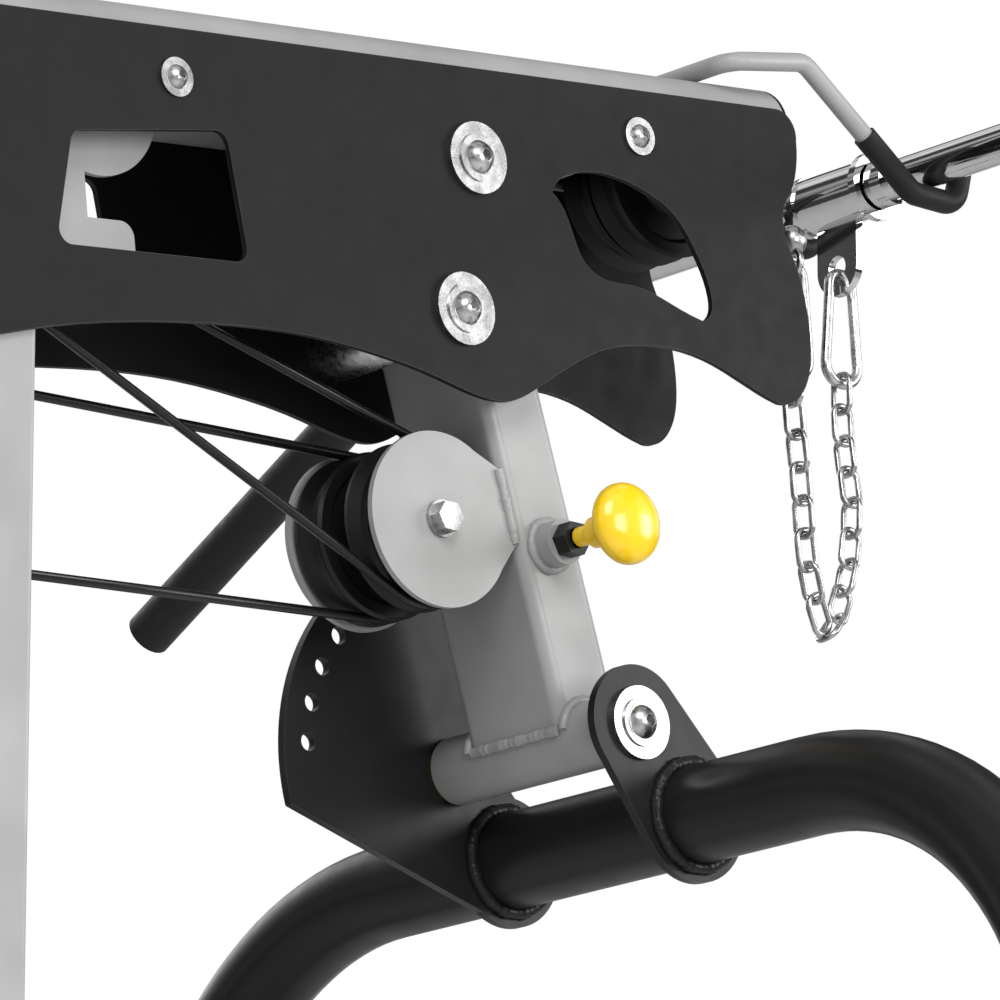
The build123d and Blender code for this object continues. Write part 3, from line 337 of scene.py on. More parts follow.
@dataclass(frozen=True)
class Moulded:
    """Moulded plastic or rubber with a faint skin."""

    name: str
    colour: Colour
    roughness: Tuple[float, float]
    skin: float
    grain: float
    specular: float
    coat: float = 0.0
    coat_roughness: float = 0.08

    def build(self) -> bpy.types.Material:
        """Make the material.

        Returns:
            The new material.
        """
        graph = Graph(self.name)
        deep = tuple(c * 0.93 for c in self.colour)
        colour = graph.ramp(graph.noise(25.0, 3.0), [(0.4, deep), (0.6, self.colour)])
        graph.link(colour, graph.shader.inputs["Base Color"])
        graph.link(graph.span(graph.noise(120.0, 3.0), *self.roughness), graph.shader.inputs["Roughness"])
        graph.shader.inputs["Coat Weight"].default_value = self.coat
        graph.shader.inputs["Coat Roughness"].default_value = self.coat_roughness
        graph.shader.inputs["Specular IOR Level"].default_value = self.specular
        graph.bump(graph.noise(self.grain, 2.0), 0.0002, self.skin)
        return graph.material


@dataclass(frozen=True)
class CastIron:
    """Painted casting with a sandy skin and rubbed edges."""

    name: str
    colour: Colour = (0.035, 0.035, 0.037)
    pale: Colour = (0.06, 0.06, 0.062)
    rubbed: Colour = (0.18, 0.18, 0.18)
    edge: float = 0.0012
    roughness: Tuple[float, float] = (0.5, 0.68)

    def build(self) -> bpy.types.Material:
        """Make the material.

        Returns:
            The new material.
        """
        graph = Graph(self.name)
        tint = graph.ramp(graph.noise(40.0, 5.0), [(0.35, self.colour), (0.7, self.pale)])
        worn = graph.mix(graph.edges(self.edge), tint, self.rubbed)
        graph.link(worn, graph.shader.inputs["Base Color"])
        graph.link(graph.span(graph.noise(150.0, 3.0), *self.roughness), graph.shader.inputs["Roughness"])
        sand = graph.bump(graph.noise(420.0, 4.0), 0.0005, 0.30)
        graph.bump(graph.noise(1500.0, 2.0), 0.0002, 0.15, sand)
        return graph.material


@dataclass(frozen=True)
class Vinyl:
    """Upholstery vinyl with a pebbled leather grain."""

    name: str
    colour: Colour = (0.022, 0.022, 0.024)
    worn: Colour = (0.034, 0.034, 0.036)
    roughness: Tuple[float, float] = (0.40, 0.55)

    def build(self) -> bpy.types.Material:
        """Make the material.

        Returns:
            The new material.
        """
        graph = Graph(self.name)
        pebble = graph.cells(420.0, "SMOOTH_F1")
        tint = graph.ramp(graph.noise(9.0, 3.0), [(0.35, self.colour), (0.7, self.worn)])
        graph.link(tint, graph.shader.inputs["Base Color"])
        graph.link(graph.span(graph.noise(70.0, 4.0), *self.roughness), graph.shader.inputs["Roughness"])
        under = graph.bump(pebble, 0.0005, 0.35)
        graph.bump(graph.noise(60.0, 4.0), 0.0010, 0.10, under)
        return graph.material


@dataclass(frozen=True)
class Foam:
    """Closed-cell foam with open pores on its skin."""

    name: str
    colour: Colour = (0.026, 0.026, 0.027)
    pore: Colour = (0.012, 0.012, 0.012)
    roughness: Tuple[float, float] = (0.78, 0.92)
    sheen: float = 0.15

    def build(self) -> bpy.types.Material:
        """Make the material.

        Returns:
            The new material.
        """
        graph = Graph(self.name)
        pores = graph.cells(900.0)
        colour = graph.ramp(pores, [(0.1, self.pore), (0.45, self.colour)])
        graph.link(colour, graph.shader.inputs["Base Color"])
        graph.shader.inputs["Sheen Weight"].default_value = self.sheen
        graph.link(graph.span(graph.noise(80.0, 4.0), *self.roughness), graph.shader.inputs["Roughness"])
        under = graph.bump(pores, 0.0006, 0.45)
        graph.bump(graph.noise(30.0, 5.0), 0.0015, 0.12, under)
        return graph.material


@dataclass
class Palette:
    """All finishes, made once."""

    made: Dict[Slot, bpy.types.Material] = field(default_factory=dict)

    def build(self) -> None:
        """Make one material for each slot."""
        finishes = {
            # each coat's edge colour is a painted highlight on its cut edges, partly also edge wear
            Slot.BLACK_POWDER: PowderCoat(
                "black_powder_coat", (0.0075, 0.0075, 0.008), roughness=(0.46, 0.56), peel=0.16, grain=1100.0,
                edge=0.0007, edge_highlight_colour=(0.12, 0.12, 0.125), specular=0.16),
            Slot.GREY_PAINT: PowderCoat(
                "grey_powder_coat", (0.30, 0.30, 0.30), roughness=(0.34, 0.44), peel=0.09, grain=800.0,
                edge=0.0009, edge_highlight_colour=(0.42, 0.42, 0.42), specular=0.5),
            Slot.BLACK_PAINT: PowderCoat(
                "black_gloss_coat", (0.012, 0.012, 0.012), roughness=(0.30, 0.38), peel=0.14, grain=700.0,
                edge=0.0007, edge_highlight_colour=(0.09, 0.09, 0.095), specular=0.20),
            Slot.ZINC: Metal(
                "bright_zinc", (0.56, 0.56, 0.565), roughness=(0.20, 0.38), cloud=0.42, scratch=0.45),
            Slot.CHROME: Metal(
                "chrome_plate", (0.60, 0.60, 0.61), roughness=(0.05, 0.10), cloud=0.05, scratch=0.02),
            Slot.BRASS: Metal(
                "bush_brass", (0.62, 0.42, 0.16), roughness=(0.25, 0.40), cloud=0.2, scratch=0.10),
            Slot.RUBBER: Moulded(
                "black_rubber", (0.010, 0.010, 0.011), roughness=(0.46, 0.60), skin=0.20, grain=900.0, specular=0.22),
            Slot.NYLON: Moulded(
                "black_nylon", (0.008, 0.008, 0.009), roughness=(0.36, 0.48), skin=0.08, grain=600.0, specular=0.25),
            Slot.CABLE: Moulded(
                "cable_coating", (0.006, 0.006, 0.007), roughness=(0.22, 0.30), skin=0.04, grain=800.0, specular=0.35),
            Slot.YELLOW: Moulded(
                "yellow_plastic", (0.90, 0.58, 0.006), roughness=(0.20, 0.28), skin=0.05, grain=160.0, specular=0.5,
                coat=0.35),
            Slot.IRON: CastIron("painted_iron"),
            Slot.VINYL: Vinyl("pad_vinyl"),
            Slot.FOAM: Foam("roller_foam"),
        }
        for slot, finish in finishes.items():
            self.made[slot] = finish.build()
        LOG.info("finishes: %d", len(self.made))

    def dress_frame(self, frame: Dict[str, object]) -> None:
        """Give every node of the frame its slot's finish.
        """
        by_node = {s["node"]: Slot(s["material_slot"]) for s in frame["record"]["subparts"]}
        for name, node in frame["nodes"].items():
            node.data.materials.clear()
            node.data.materials.append(self.made[by_node[name]])
            for face in node.data.polygons:
                face.material_index = 0
        LOG.info("dressed %d nodes", len(frame["nodes"]))

    def dress(self, piece: bpy.types.Object, slot: Slot) -> None:
        """Put a finish on a new piece.

        Args:
            piece: the new piece.
            slot: its finish.
        """
        piece.data.materials.clear()
        piece.data.materials.append(self.made[slot])


class Bench:
    """Edit-mode steps that the pieces share."""

    @staticmethod
    def clear() -> None:
        """Leave edit mode and deselect everything."""
        if bpy.context.mode != "OBJECT":
            bpy.ops.object.mode_set(mode="OBJECT")
        bpy.ops.object.select_all(action="DESELECT")

    @staticmethod
    def take(name: str) -> bpy.types.Object:
        """Name the active object and its mesh, and place it at the origin.

        Args:
            name: the piece's name.

        Returns:
            The piece.
        """
        piece = bpy.context.active_object
        piece.name = name
        piece.data.name = name
        bpy.ops.object.transform_apply(location=True, rotation=True, scale=True)
        return piece

    @staticmethod
    def hold(piece: bpy.types.Object) -> None:
        """Select one piece and make it active.

        Args:
            piece: the mesh object.
        """
        Bench.clear()
        piece.select_set(True)
        bpy.context.view_layer.objects.active = piece

    @staticmethod
    def apply(piece: bpy.types.Object, kind: str, **values: object) -> None:
        """Add a modifier and apply it.

        Args:
            piece: the mesh object.
            kind: modifier type.
            **values: the modifier's settings.
        """
        Bench.hold(piece)
        modifier = piece.modifiers.new(kind.title(), kind)
        for key, value in values.items():
            setattr(modifier, key, value)
        bpy.ops.object.modifier_apply(modifier=modifier.name)

    @staticmethod
    def smooth(piece: bpy.types.Object, degrees: float = 40.0) -> None:
        """Shade smooth except across sharp edges."""
        Bench.hold(piece)
        bpy.ops.object.shade_smooth_by_angle(angle=math.radians(degrees))

    @staticmethod
    def run(name: str, points: Sequence[Point], radii: Sequence[float], closed: bool) -> bpy.types.Object:
        """Round bar of changing thickness along points, as a mesh.

        Args:
            name: the piece's name.
            points: the bar's centre line.
            radii: its radius at each point.
            closed: whether the bar meets itself.

        Returns:
            The mesh object.
        """
        Bench.clear()
        curve = bpy.data.curves.new(name, "CURVE")
        curve.dimensions = "3D"
        curve.bevel_depth = 1.0
        curve.bevel_resolution = 3
        curve.use_fill_caps = not closed
        spline = curve.splines.new("POLY")
        spline.points.add(len(points) - 1)
        for target, point, radius in zip(spline.points, points, radii):
            target.co = (*point, 1.0)
            target.radius = radius
        spline.use_cyclic_u = closed
        piece = bpy.data.objects.new(name, curve)
        bpy.context.scene.collection.objects.link(piece)
        Bench.hold(piece)
        bpy.ops.object.convert(target="MESH")
        piece = bpy.context.active_object
        bpy.ops.object.mode_set(mode="EDIT")
        bpy.ops.mesh.select_all(action="SELECT")
        bpy.ops.mesh.remove_doubles(threshold=0.00001)
        bpy.ops.mesh.normals_make_consistent(inside=False)
        bpy.ops.object.mode_set(mode="OBJECT")
        return piece


@dataclass
class Weld:
    """One rippled weld bead."""

    name: str
    body: str
    slot: Slot
    points: List[Point]
    closed: bool
    radius: float

    def ripple(self, index: int) -> float:
        """Bead's thickness at one point, as a share of its radius."""
        slow, fast = 0.09 * math.sin(index * 0.61), 0.05 * math.sin(index * 1.7)
        return 1.0 + 0.07 * math.cos(index * math.tau / 3) + slow + fast

    def build(self, palette: Palette) -> None:
        """Lay the bead and let it ride on its body.

        Args:
            palette: the finishes.
        """
        radii = [self.radius * self.ripple(i) for i in range(len(self.points))]
        bead = Bench.run(self.name, self.points, radii, self.closed)
        Bench.smooth(bead, 60)
        palette.dress(bead, self.slot)
        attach(bead, self.body)
        LOG.info("weld %s", self.name)


@dataclass
class Welds:
    """All visible welds of the press arm, handle and hook."""

    pivot: Point = (0.0095, 0.0, 1.947)
    lean: float = math.radians(18.1)
    arm_length: float = 0.355
    cross_radius: float = 0.0212
    handle_radius: float = 0.030
    handle_offset: Tuple[float, float] = (0.045, -0.050)
    side_inner: float = 0.081
    side_outer: float = 0.087
    pin_down: float = 0.2375
    pin_ahead: float = 0.0041
    boss_radius: float = 0.014
    tube_half: float = 0.043
    tube_rear: float = -0.020
    disc_across: float = 0.0405
    disc_from: float = 0.186
    disc_to: float = 0.232
    rear_rise: float = 0.0075
    rear_inset: float = 0.004
    saddle_sweep: float = 160.0
    side_bead: float = 0.0042
    ring_bead: float = 0.0030
    line_bead: float = 0.0032
    side_gap: float = 0.0022
    face_gap: float = 0.0012
    tube_gap: float = 0.0006
    boss_gap: float = 0.0010
    saddle_gap: float = 0.0008
    rear_gap: float = 0.0004
    step: float = 0.0015

    def arm(self, down: float, ahead: float, across: float) -> Point:
        """Place on the arm from distances down it, ahead of it and across it."""
        sin, cos = math.sin(self.lean), math.cos(self.lean)
        return (self.pivot[0] + down * sin + ahead * cos, across, self.pivot[2] - down * cos + ahead * sin)

    def ring(self, centre: Point, radius: float, start: float = 0.0, sweep: float = 360.0) -> List[Point]:
        """Points of a circle or arc about an axis along Y, about a step apart.

        Args:
            centre: middle of the circle.
            radius: its radius.
            start: first angle in degrees from +X towards +Z.
            sweep: how far the arc goes.

        Returns:
            The points, a multiple of three in number so that the ripple closes.
        """
        count = max(9, int(radius * math.radians(sweep) / self.step) // 3 * 3)
        whole = abs(sweep - 360.0) < 0.01
        steps = count if whole else count - 1
        points = []
        for i in range(count):
            angle = math.radians(start + sweep * i / steps)
            points.append((centre[0] + radius * math.cos(angle), centre[1], centre[2] + radius * math.sin(angle)))
        return points

    def line(self, start: Point, end: Point) -> List[Point]:
        """Points of a straight bead, about a step apart.

        Args:
            start: where the bead begins.
            end: where it ends.

        Returns:
            The points.
        """
        first, last = Vector(start), Vector(end)
        count = max(4, int((last - first).length / self.step))
        return [tuple(first.lerp(last, i / (count - 1))) for i in range(count)]

    def handle_beads(self, cross: Point) -> List[Weld]:
        """Beads where the handle tube passes its two side plates.

        Args:
            cross: middle of the lower cross tube.

        Returns:
            The beads, on both faces of each plate.
        """
        faces = (("lug_out", -self.side_outer - self.face_gap), ("lug_in", -self.side_inner + self.face_gap),
                 ("sector_in", self.side_inner - self.face_gap), ("sector_out", self.side_outer + self.face_gap))
        beads = []
        for label, across in faces:
            centre = (cross[0] + self.handle_offset[0], across, cross[2] + self.handle_offset[1])
            points = self.ring(centre, self.handle_radius + self.side_gap)
            beads.append(Weld(f"weld_{label}", "handle", Slot.BLACK_PAINT, points, True, self.side_bead))
        return beads

    def arm_beads(self, cross: Point) -> List[Weld]:
        """Beads of the pin bosses, cross tube and pulley discs.

        Args:
            cross: middle of the lower cross tube.

        Returns:
            The beads of both sides and the one across the rear.
        """
        beads = []
        rear = self.tube_rear - self.rear_gap
        for label, side in (("near", -1), ("far", 1)):
            face = side * (self.tube_half + self.tube_gap)
            boss = self.ring(self.arm(self.pin_down, self.pin_ahead, face), self.boss_radius + self.boss_gap)
            saddle = self.ring((cross[0], face, cross[2]), self.cross_radius + self.saddle_gap,
                               math.degrees(self.lean), self.saddle_sweep)
            disc = self.line(self.arm(self.disc_from, rear, side * self.disc_across),
                             self.arm(self.disc_to, rear, side * self.disc_across))
            for piece, points, closed, radius in (("boss", boss, True, self.ring_bead),
                                                  ("cross", saddle, False, self.ring_bead),
                                                  ("disc", disc, False, self.line_bead)):
                beads.append(Weld(f"weld_{piece}_{label}", "press_arm", Slot.GREY_PAINT, points, closed, radius))
        across = self.tube_half - self.rear_inset
        ends = [self.arm(self.arm_length - self.rear_rise, rear, side * across) for side in (-1, 1)]
        beads.append(Weld("weld_rear", "press_arm", Slot.GREY_PAINT, self.line(*ends), False, self.line_bead))
        return beads

    def build(self, palette: Palette) -> None:
        """Lay every bead.

        Args:
            palette: the finishes.
        """
        cross = self.arm(self.arm_length, 0, 0)
        for bead in self.handle_beads(cross) + self.arm_beads(cross):
            bead.build(palette)


@dataclass
class Cushion:
    """Upholstered pad: a pressure-filled cover with a piped seam."""

    name: str
    node: str
    body: str
    thin_axis: int
    corner: float = 0.045
    voxel: float = 0.006
    swell: float = 0.010
    start_gap: float = 0.006
    corner_steps: int = 8
    edge_round: float = 0.014
    piping: float = 0.0028
    piping_sink: float = 0.0005
    piping_step: float = 0.02
    piping_levels: Tuple[float, float] = (0.25, 0.75)
    cover_mass: float = 0.3
    stretch_stiffness: float = 25.0
    bend_stiffness: float = 2.0
    pressure: float = 4.0
    frames: int = 20
    fullness: float = 0.8

    def shell(self, low: Vector, high: Vector) -> bpy.types.Object:
        """Rounded block a little smaller than the pad.

        Args:
            low: lowest corner of the pad's room.
            high: highest corner.

        Returns:
            The block.
        """
        Bench.clear()
        centre = (low + high) / 2
        gap = Vector((self.start_gap,) * 3)
        size = high - low - 2 * gap
        bpy.ops.mesh.primitive_cube_add(size=1, location=centre, scale=size)
        pad = Bench.take(self.name)
        axis = Vector([1.0 if i == self.thin_axis else 0.0 for i in range(3)])
        bpy.ops.object.mode_set(mode="EDIT")
        bpy.ops.mesh.select_all(action="DESELECT")
        bpy.ops.mesh.select_mode(type="EDGE")
        bpy.ops.object.mode_set(mode="OBJECT")
        for edge in pad.data.edges:
            a, b = (pad.data.vertices[i].co for i in edge.vertices)
            edge.select = abs((b - a).normalized().dot(axis)) > 0.9
        bpy.ops.object.mode_set(mode="EDIT")
        bpy.ops.mesh.bevel(offset=self.corner, segments=self.corner_steps, affect="EDGES")
        bpy.ops.mesh.select_all(action="DESELECT")
        bpy.ops.object.mode_set(mode="OBJECT")
        Bench.apply(pad, "BEVEL", width=self.edge_round, segments=4, limit_method="ANGLE",
                    angle_limit=math.radians(50))
        return pad

    def fill(self, pad: bpy.types.Object) -> None:
        """Blow the cover up with the cloth solver and cap how far it moves.

        Args:
            pad: the block.
        """
        Bench.apply(pad, "REMESH", mode="VOXEL", voxel_size=self.voxel)
        rest = [v.co.copy() for v in pad.data.vertices]
        self.inflate(pad)
        for vertex, old in zip(pad.data.vertices, rest):
            move = vertex.co - old
            if move.length > self.swell:
                vertex.co = old + move.normalized() * self.swell
        Bench.apply(pad, "SMOOTH", factor=0.5, iterations=4)
        Bench.apply(pad, "SUBSURF", levels=1, render_levels=1)

    def inflate(self, pad: bpy.types.Object) -> None:
        """Run the cloth solver with air in the cover.

        Args:
            pad: the block.
        """
        Bench.hold(pad)
        cloth = pad.modifiers.new("Cloth", "CLOTH")
        values = cloth.settings
        values.quality = 5
        values.mass = self.cover_mass
        values.tension_stiffness = self.stretch_stiffness
        values.compression_stiffness = self.stretch_stiffness
        values.bending_stiffness = self.bend_stiffness
        values.use_pressure = True
        values.uniform_pressure_force = self.pressure
        values.effector_weights.gravity = 0.0
        cloth.point_cache.frame_start = 1
        cloth.point_cache.frame_end = self.frames
        for number in range(1, self.frames + 1):
            bpy.context.scene.frame_set(number)
        bpy.ops.object.modifier_apply(modifier=cloth.name)
        bpy.context.scene.frame_set(1)

    def outline(self, low: Vector, high: Vector, level: float) -> List[Vector]:
        """Rounded rectangle round the pad's room.

        Args:
            low: lowest corner of the pad's room.
            high: highest corner.
            level: its place through the pad's thickness, 0 to 1.

        Returns:
            The points of the closed loop.
        """
        axes = [i for i in range(3) if i != self.thin_axis]
        inset = self.start_gap + self.piping_sink
        half = [(high[i] - low[i]) / 2 - inset for i in axes]
        mid = (low + high) / 2
        points = []
        for sx, sy, start in ((1, 1, 0), (-1, 1, 90), (-1, -1, 180), (1, -1, 270)):
            for k in range(self.corner_steps + 1):
                angle = math.radians(start + 90 * k / self.corner_steps)
                place = [0.0, 0.0, 0.0]
                place[axes[0]] = mid[axes[0]] + sx * (half[0] - self.corner) + self.corner * math.cos(angle)
                place[axes[1]] = mid[axes[1]] + sy * (half[1] - self.corner) + self.corner * math.sin(angle)
                place[self.thin_axis] = low[self.thin_axis] + level * (high[self.thin_axis] - low[self.thin_axis])
                points.append(Vector(place))
        return points

    def rim(self, pad: bpy.types.Object, loop: Sequence[Vector], label: str) -> bpy.types.Object:
        """Piped seam round the pad, half sunk in its cover.

        Args:
            pad: the filled cover.
            loop: the seam's line before it is laid on the cover.
            label: end of the piece's name.

        Returns:
            The piping.
        """
        seam = [pad.closest_point_on_mesh(point)[1] for point in self.subdivided(loop, self.piping_step)]
        count = len(seam)
        points = [tuple((seam[i - 1] + seam[i] * 2 + seam[(i + 1) % count]) / 4) for i in range(count)]
        piping = Bench.run(f"{self.name}_{label}", points, [self.piping] * len(points), True)
        Bench.smooth(piping, 60)
        return piping

    @staticmethod
    def subdivided(loop: Sequence[Vector], step: float) -> List[Vector]:
        """Points no further apart than a step round a closed loop.

        Args:
            loop: the loop's corners.
            step: the longest gap left between two points.

        Returns:
            The loop with points added.
        """
        result: List[Vector] = []
        for index, start in enumerate(loop):
            end = loop[(index + 1) % len(loop)]
            parts = max(1, math.ceil((end - start).length / step))
            result += [start.lerp(end, k / parts) for k in range(parts)]
        return result

    def build(self, palette: Palette) -> None:
        """Make the cushion in the room its node holds.

        Args:
            palette: the finishes.
        """
        low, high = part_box(self.node)
        pad = self.shell(low, high)
        self.fill(pad)
        Bench.smooth(pad, 80)
        palette.dress(pad, Slot.VINYL)
        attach(pad, self.body)
        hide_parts(self.node)
        for label, level in zip(("piping_a", "piping_b"), self.piping_levels):
            piping = self.rim(pad, self.outline(low, high, level), label)
            palette.dress(piping, Slot.VINYL)
            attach(piping, self.body)
        LOG.info("cushion %s", self.name)


@dataclass
class Knob:
    """Smooth domed pull knob on the pop pin."""

    name: str = "pull_knob"
    node: str = "pop_pin_knob"
    body: str = "pop_pin"
    segments: int = 64
    neck: float = 0.0062
    collar: float = 0.0095
    rim: float = 0.025
    depth: float = 0.054
    neck_end: float = 0.0115
    shoulder: Tuple[float, float] = (0.0085, 0.0122)
    collar_end: float = 0.0135
    flare: float = 0.0235
    flare_lip: float = 0.0012
    band: Tuple[float, float, float] = (0.0380, 0.0395, 0.0415)
    flare_steps: int = 14
    dome_steps: int = 13

    def profile(self) -> List[Tuple[float, float]]:
        """Outline that the knob is turned from.

        Returns:
            Radius and distance outwards of each ring, from neck to dome.
        """
        rings = [(self.neck, 0.0), (self.neck, self.neck_end), self.shoulder, (self.collar, self.collar_end)]
        for k in range(1, self.flare_steps + 1):
            t = k / self.flare_steps
            radius = self.collar + (self.rim - self.flare_lip - self.collar) * t ** 3.2
            rings.append((radius, self.collar_end + self.flare * t ** 0.92))
        band_start, band_middle, band_end = self.band
        rings += [(self.rim - 0.0004, band_start), (self.rim, band_middle), (self.rim, band_end)]
        for k in range(1, self.dome_steps):
            angle = math.pi / 2 * k / self.dome_steps
            rings.append((self.rim * math.cos(angle), band_end + (self.depth - band_end) * math.sin(angle)))
        return rings

    def build(self, palette: Palette) -> None:
        """Turn the knob in the room its node holds.

        Args:
            palette: the finishes.
        """
        low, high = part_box(self.node)
        x, z = (low.x + high.x) / 2, (low.z + high.z) / 2
        outer = low.y
        rings = self.profile()
        Bench.clear()
        first = outer + self.depth
        bpy.ops.mesh.primitive_circle_add(vertices=self.segments, radius=rings[0][0], fill_type="NGON",
                                          location=(x, first, z), rotation=(math.pi / 2, 0, 0))
        knob = Bench.take(self.name)
        bpy.ops.object.mode_set(mode="EDIT")
        bpy.ops.mesh.select_all(action="SELECT")
        for (r0, d0), (r1, d1) in zip(rings, rings[1:]):
            bpy.ops.mesh.extrude_region_move(TRANSFORM_OT_translate={"value": (0, d0 - d1, 0)})
            bpy.ops.transform.resize(value=(r1 / r0, 1, r1 / r0), center_override=(x, first - d1, z))
        bpy.ops.mesh.extrude_region_move(TRANSFORM_OT_translate={"value": (0, rings[-1][1] - self.depth, 0)})
        bpy.ops.mesh.merge(type="CENTER")
        bpy.ops.mesh.select_all(action="SELECT")
        bpy.ops.mesh.remove_doubles(threshold=0.00001)
        bpy.ops.mesh.normals_make_consistent(inside=False)
        bpy.ops.object.mode_set(mode="OBJECT")
        Bench.smooth(knob, 35)
        palette.dress(knob, Slot.YELLOW)
        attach(knob, self.body)
        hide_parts(self.node)
        LOG.info("knob")


@dataclass
class Follower:
    """A cable or chain copied from its node, whole or cut at one place along X."""

    name: str
    node: str
    still: str
    moving: str
    slot: Slot
    start: Point
    end: Point
    cut: Optional[float] = None
    rear: bool = False

    def build(self, palette: Palette, frame: Dict[str, object]) -> None:
        """Copy the node's mesh and close it.

        A cut keeps only the part behind or ahead of that place along X.

        Args:
            palette: the finishes.
        """
        Bench.clear()
        source = frame["nodes"][self.node]
        piece = bpy.data.objects.new(self.name, source.data.copy())
        piece.data.name = self.name
        bpy.context.scene.collection.objects.link(piece)
        Bench.hold(piece)
        bpy.ops.object.mode_set(mode="EDIT")
        bpy.ops.mesh.select_all(action="SELECT")
        bpy.ops.mesh.remove_doubles(threshold=0.000005)
        if self.cut is not None:
            bpy.ops.mesh.bisect(plane_co=(self.cut, 0, 0), plane_no=(1, 0, 0), use_fill=True,
                                clear_inner=not self.rear, clear_outer=self.rear)
        bpy.ops.object.mode_set(mode="OBJECT")
        Bench.smooth(piece, 40)
        palette.dress(piece, self.slot)
        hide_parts(self.node)
        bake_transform(piece)
        LOG.info("follower %s", self.name)


@dataclass
class FoamRoller:
    """Thigh roller: foam sleeve with rounded ends round its axle."""

    name: str
    node: str
    body: str
    bore: float = 0.0125
    edge: float = 0.012
    segments: int = 72

    def build(self, palette: Palette) -> None:
        """Make the roller in the room its node holds.

        Args:
            palette: the finishes.
        """
        low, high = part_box(self.node)
        centre = (low + high) / 2
        radius = (high.x - low.x) / 2
        length = high.y - low.y
        Bench.clear()
        bpy.ops.mesh.primitive_cylinder_add(vertices=self.segments, radius=radius, depth=length,
                                            location=centre, rotation=(math.pi / 2, 0, 0))
        roller = Bench.take(self.name)
        bpy.ops.object.mode_set(mode="EDIT")
        bpy.ops.mesh.select_all(action="DESELECT")
        bpy.ops.mesh.select_mode(type="FACE")
        bpy.ops.object.mode_set(mode="OBJECT")
        for face in roller.data.polygons:
            face.select = abs(face.normal.y) > 0.9
        bpy.ops.object.mode_set(mode="EDIT")
        bpy.ops.mesh.inset(thickness=radius - self.bore)
        bpy.ops.mesh.bridge_edge_loops()
        bpy.ops.object.mode_set(mode="OBJECT")
        for edge in roller.data.edges:
            a, b = (roller.data.vertices[i].co for i in edge.vertices)
            out = math.hypot(a.x - centre.x, a.z - centre.z)
            edge.select = abs(a.y - b.y) < 1e-5 and out > radius - 0.001
        bpy.ops.object.mode_set(mode="EDIT")
        bpy.ops.mesh.select_mode(type="EDGE")
        bpy.ops.mesh.bevel(offset=self.edge, segments=6, affect="EDGES")
        bpy.ops.mesh.select_all(action="SELECT")
        bpy.ops.mesh.normals_make_consistent(inside=False)
        bpy.ops.object.mode_set(mode="OBJECT")
        Bench.smooth(roller, 40)
        palette.dress(roller, Slot.FOAM)
        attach(roller, self.body)
        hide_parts(self.node)
        LOG.info("roller %s", self.name)


@dataclass(frozen=True)
class Lamp:
    """One square soft lamp: its side is in metres and its power in watts."""

    name: str
    place: Point
    size: float
    power: float


LAMPS = (
    Lamp("key", (-1.6, -2.6, 3.6), 1.6, 70.0),
    Lamp("front", (3.0, -2.2, 2.4), 1.4, 45.0),
    Lamp("rim", (0.5, 3.0, 3.0), 1.6, 16.0),
    Lamp("side", (0.2, -3.4, 2.0), 1.4, 50.0),
)


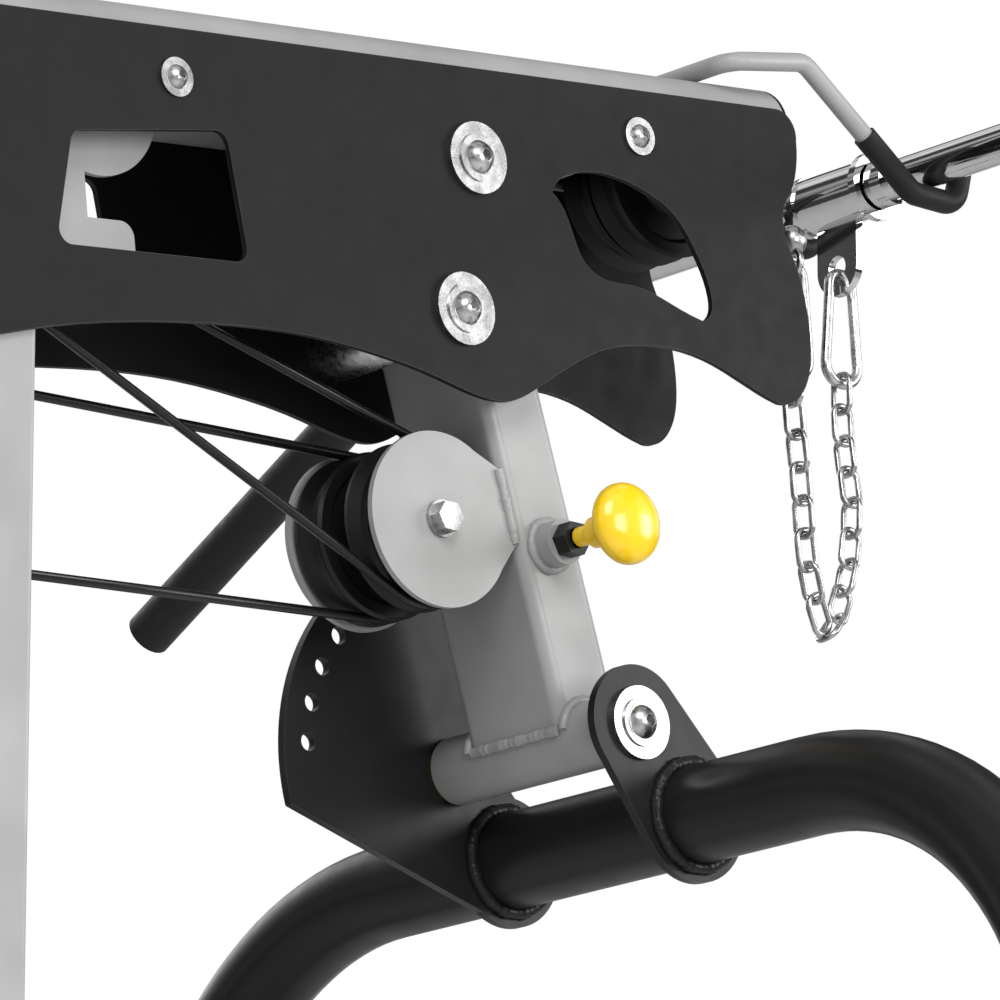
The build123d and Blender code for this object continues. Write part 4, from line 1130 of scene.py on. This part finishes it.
@dataclass
class Studio:
    """Floor, world, lamps and camera."""

    floor_size: float = 12.0
    eye: Point = (-3.0257, -3.5290, 0.4642)
    heading: float = 41.4
    rise: float = 15.4
    lens: float = 288.0
    sensor: float = 36.0
    far_clip: float = 60.0
    fill_light: float = 0.55
    band_scale: float = 2.3
    band_range: Tuple[float, float] = (0.46, 0.56)
    band_light: Tuple[float, float] = (0.06, 1.0)
    aim: Point = (0.0, 0.0, 1.8)

    def floor(self) -> None:
        """Plain pale floor that keeps a shadow."""
        Bench.clear()
        bpy.ops.mesh.primitive_plane_add(size=self.floor_size, location=(0, 0, 0))
        plane = Bench.take("studio_floor")
        graph = Graph("pale_floor")
        graph.link(graph.ramp(graph.noise(2.0), [(0.4, (0.80, 0.80, 0.80)), (0.6, (0.82, 0.82, 0.82))]),
                   graph.shader.inputs["Base Color"])
        graph.shader.inputs["Roughness"].default_value = 0.9
        plane.data.materials.append(graph.material)

    def world(self) -> None:
        """White to the eye and in reflections, softer as a light."""
        world = bpy.data.worlds.new("studio")
        bpy.context.scene.world = world
        world.use_nodes = True
        tree = world.node_tree
        back = tree.nodes["Background"]
        back.inputs["Color"].default_value = (1, 1, 1, 1)
        path = tree.nodes.new("ShaderNodeLightPath")
        seen = self.join(tree, "MAXIMUM", path.outputs["Is Camera Ray"], path.outputs["Is Transmission Ray"])
        mirrored = self.join(tree, "MULTIPLY", path.outputs["Is Glossy Ray"], self.bands(tree))
        lit = self.join(tree, "MULTIPLY", path.outputs["Is Diffuse Ray"], self.fill_light)
        total = self.join(tree, "MAXIMUM", self.join(tree, "MAXIMUM", seen, mirrored), lit)
        tree.links.new(total, back.inputs["Strength"])

    @staticmethod
    def join(tree: bpy.types.NodeTree, operation: str, first: bpy.types.NodeSocket,
             second: Union[bpy.types.NodeSocket, float]) -> bpy.types.NodeSocket:
        """Combine a value with another value or a number.

        Args:
            tree: the world's nodes.
            operation: how they are combined.
            first: the value.
            second: the other value, or the number.

        Returns:
            The result.
        """
        node = tree.nodes.new("ShaderNodeMath")
        node.operation = operation
        tree.links.new(first, node.inputs[0])
        if isinstance(second, float):
            node.inputs[1].default_value = second
        else:
            tree.links.new(second, node.inputs[1])
        return node.outputs[0]

    def bands(self, tree: bpy.types.NodeTree) -> bpy.types.NodeSocket:
        """Bright and dark soft boxes that polished metal mirrors.

        Args:
            tree: the world's nodes.

        Returns:
            How bright the surroundings are in each direction.
        """
        way = tree.nodes.new("ShaderNodeTexCoord")
        wave = tree.nodes.new("ShaderNodeTexNoise")
        wave.inputs["Scale"].default_value = self.band_scale
        wave.inputs["Detail"].default_value = 1.0
        tree.links.new(way.outputs["Generated"], wave.inputs["Vector"])
        span = tree.nodes.new("ShaderNodeMapRange")
        span.inputs["From Min"].default_value, span.inputs["From Max"].default_value = self.band_range
        span.inputs["To Min"].default_value, span.inputs["To Max"].default_value = self.band_light
        tree.links.new(wave.outputs["Fac"], span.inputs["Value"])
        return span.outputs["Result"]

    def lamp(self, lamp: Lamp) -> None:
        """Add one square soft lamp that points at the head of the machine.

        Args:
            lamp: where it stands, its size and its power.
        """
        light = bpy.data.lights.new(lamp.name, "AREA")
        light.size = lamp.size
        light.energy = lamp.power
        holder = bpy.data.objects.new(lamp.name, light)
        bpy.context.scene.collection.objects.link(holder)
        way = Vector(self.aim) - Vector(lamp.place)
        turn = way.to_track_quat("-Z", "Y").to_matrix().to_4x4()
        holder.matrix_world = Matrix.Translation(lamp.place) @ turn

    def camera(self) -> None:
        """Long-lens camera looking up at the head of the machine."""
        data = bpy.data.cameras.new("camera")
        data.lens = self.lens
        data.sensor_width = self.sensor
        data.clip_end = self.far_clip
        holder = bpy.data.objects.new("camera", data)
        bpy.context.scene.collection.objects.link(holder)
        across = math.radians(self.heading)
        up = math.radians(self.rise)
        way = Vector((math.cos(up) * math.sin(across), math.cos(up) * math.cos(across), math.sin(up)))
        holder.matrix_world = Matrix.Translation(self.eye) @ way.to_track_quat("-Z", "Y").to_matrix().to_4x4()
        bpy.context.scene.camera = holder

    def build(self) -> None:
        """Set up the whole studio."""
        self.floor()
        self.world()
        for lamp in LAMPS:
            self.lamp(lamp)
        self.camera()
        bpy.context.scene.view_settings.view_transform = "Standard"
        LOG.info("studio")


STACK_CUT = -0.49                                     # press cables part here, over their stack pulleys
REACH = ((-0.33, 0.0, 1.75), (-0.06, 0.0, 1.75))      # from the frame to the press arm
DROP = ((-0.54, 0.0, 1.70), (-0.54, 0.0, 0.50))       # down to the weight carriage
HANG = ((0.345, 0.0, 1.80), (0.385, 0.0, 1.80))       # from the boom to the bar's swivel


class Machine:
    """The whole machine, dressed and padded."""

    def __init__(self, frame: Dict[str, object]) -> None:
        """Keep the frame and the parts that are built round it.
        """
        self.frame = frame
        self.palette = Palette()
        self.welds = Welds()
        self.cushions = [
            Cushion("seat_cushion", "seat_pad", "seat", 2),
            Cushion("back_cushion", "back_pad", "frame", 0),
        ]
        self.knob = Knob()
        self.followers = [
            Follower("bent_cable_near", "press_cable_near", "frame", "press_arm", Slot.CABLE, *REACH, STACK_CUT),
            Follower("bent_cable_far", "press_cable_far", "frame", "press_arm", Slot.CABLE, *REACH, STACK_CUT),
            Follower("drop_cable_near", "press_cable_near", "frame", "weight_carriage", Slot.CABLE, *DROP,
                     STACK_CUT, True),
            Follower("drop_cable_far", "press_cable_far", "frame", "weight_carriage", Slot.CABLE, *DROP,
                     STACK_CUT, True),
            Follower("drop_cable_lat", "lat_cable", "frame", "weight_carriage", Slot.CABLE, *DROP),
            Follower("hung_chain", "chain", "frame", "bar_swivel", Slot.ZINC, *HANG),
        ]
        self.rollers = [
            FoamRoller("roller_foam_near", "thigh_roller_near", "thigh_roller_near"),
            FoamRoller("roller_foam_far", "thigh_roller_far", "thigh_roller_far"),
        ]

    def build(self) -> None:
        """Build every piece in order."""
        self.palette.build()
        self.palette.dress_frame(self.frame)
        self.welds.build(self.palette)
        self.knob.build(self.palette)
        for follower in self.followers:
            follower.build(self.palette, self.frame)
        for cushion in self.cushions:
            cushion.build(self.palette)
        for roller in self.rollers:
            roller.build(self.palette)


def main() -> None:
    """Load the frame, build the machine and its studio."""
    logging.basicConfig(level=logging.INFO, format="%(message)s")
    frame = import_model()
    Machine(frame).build()
    Studio().build()


if __name__ == "__main__":
    main()
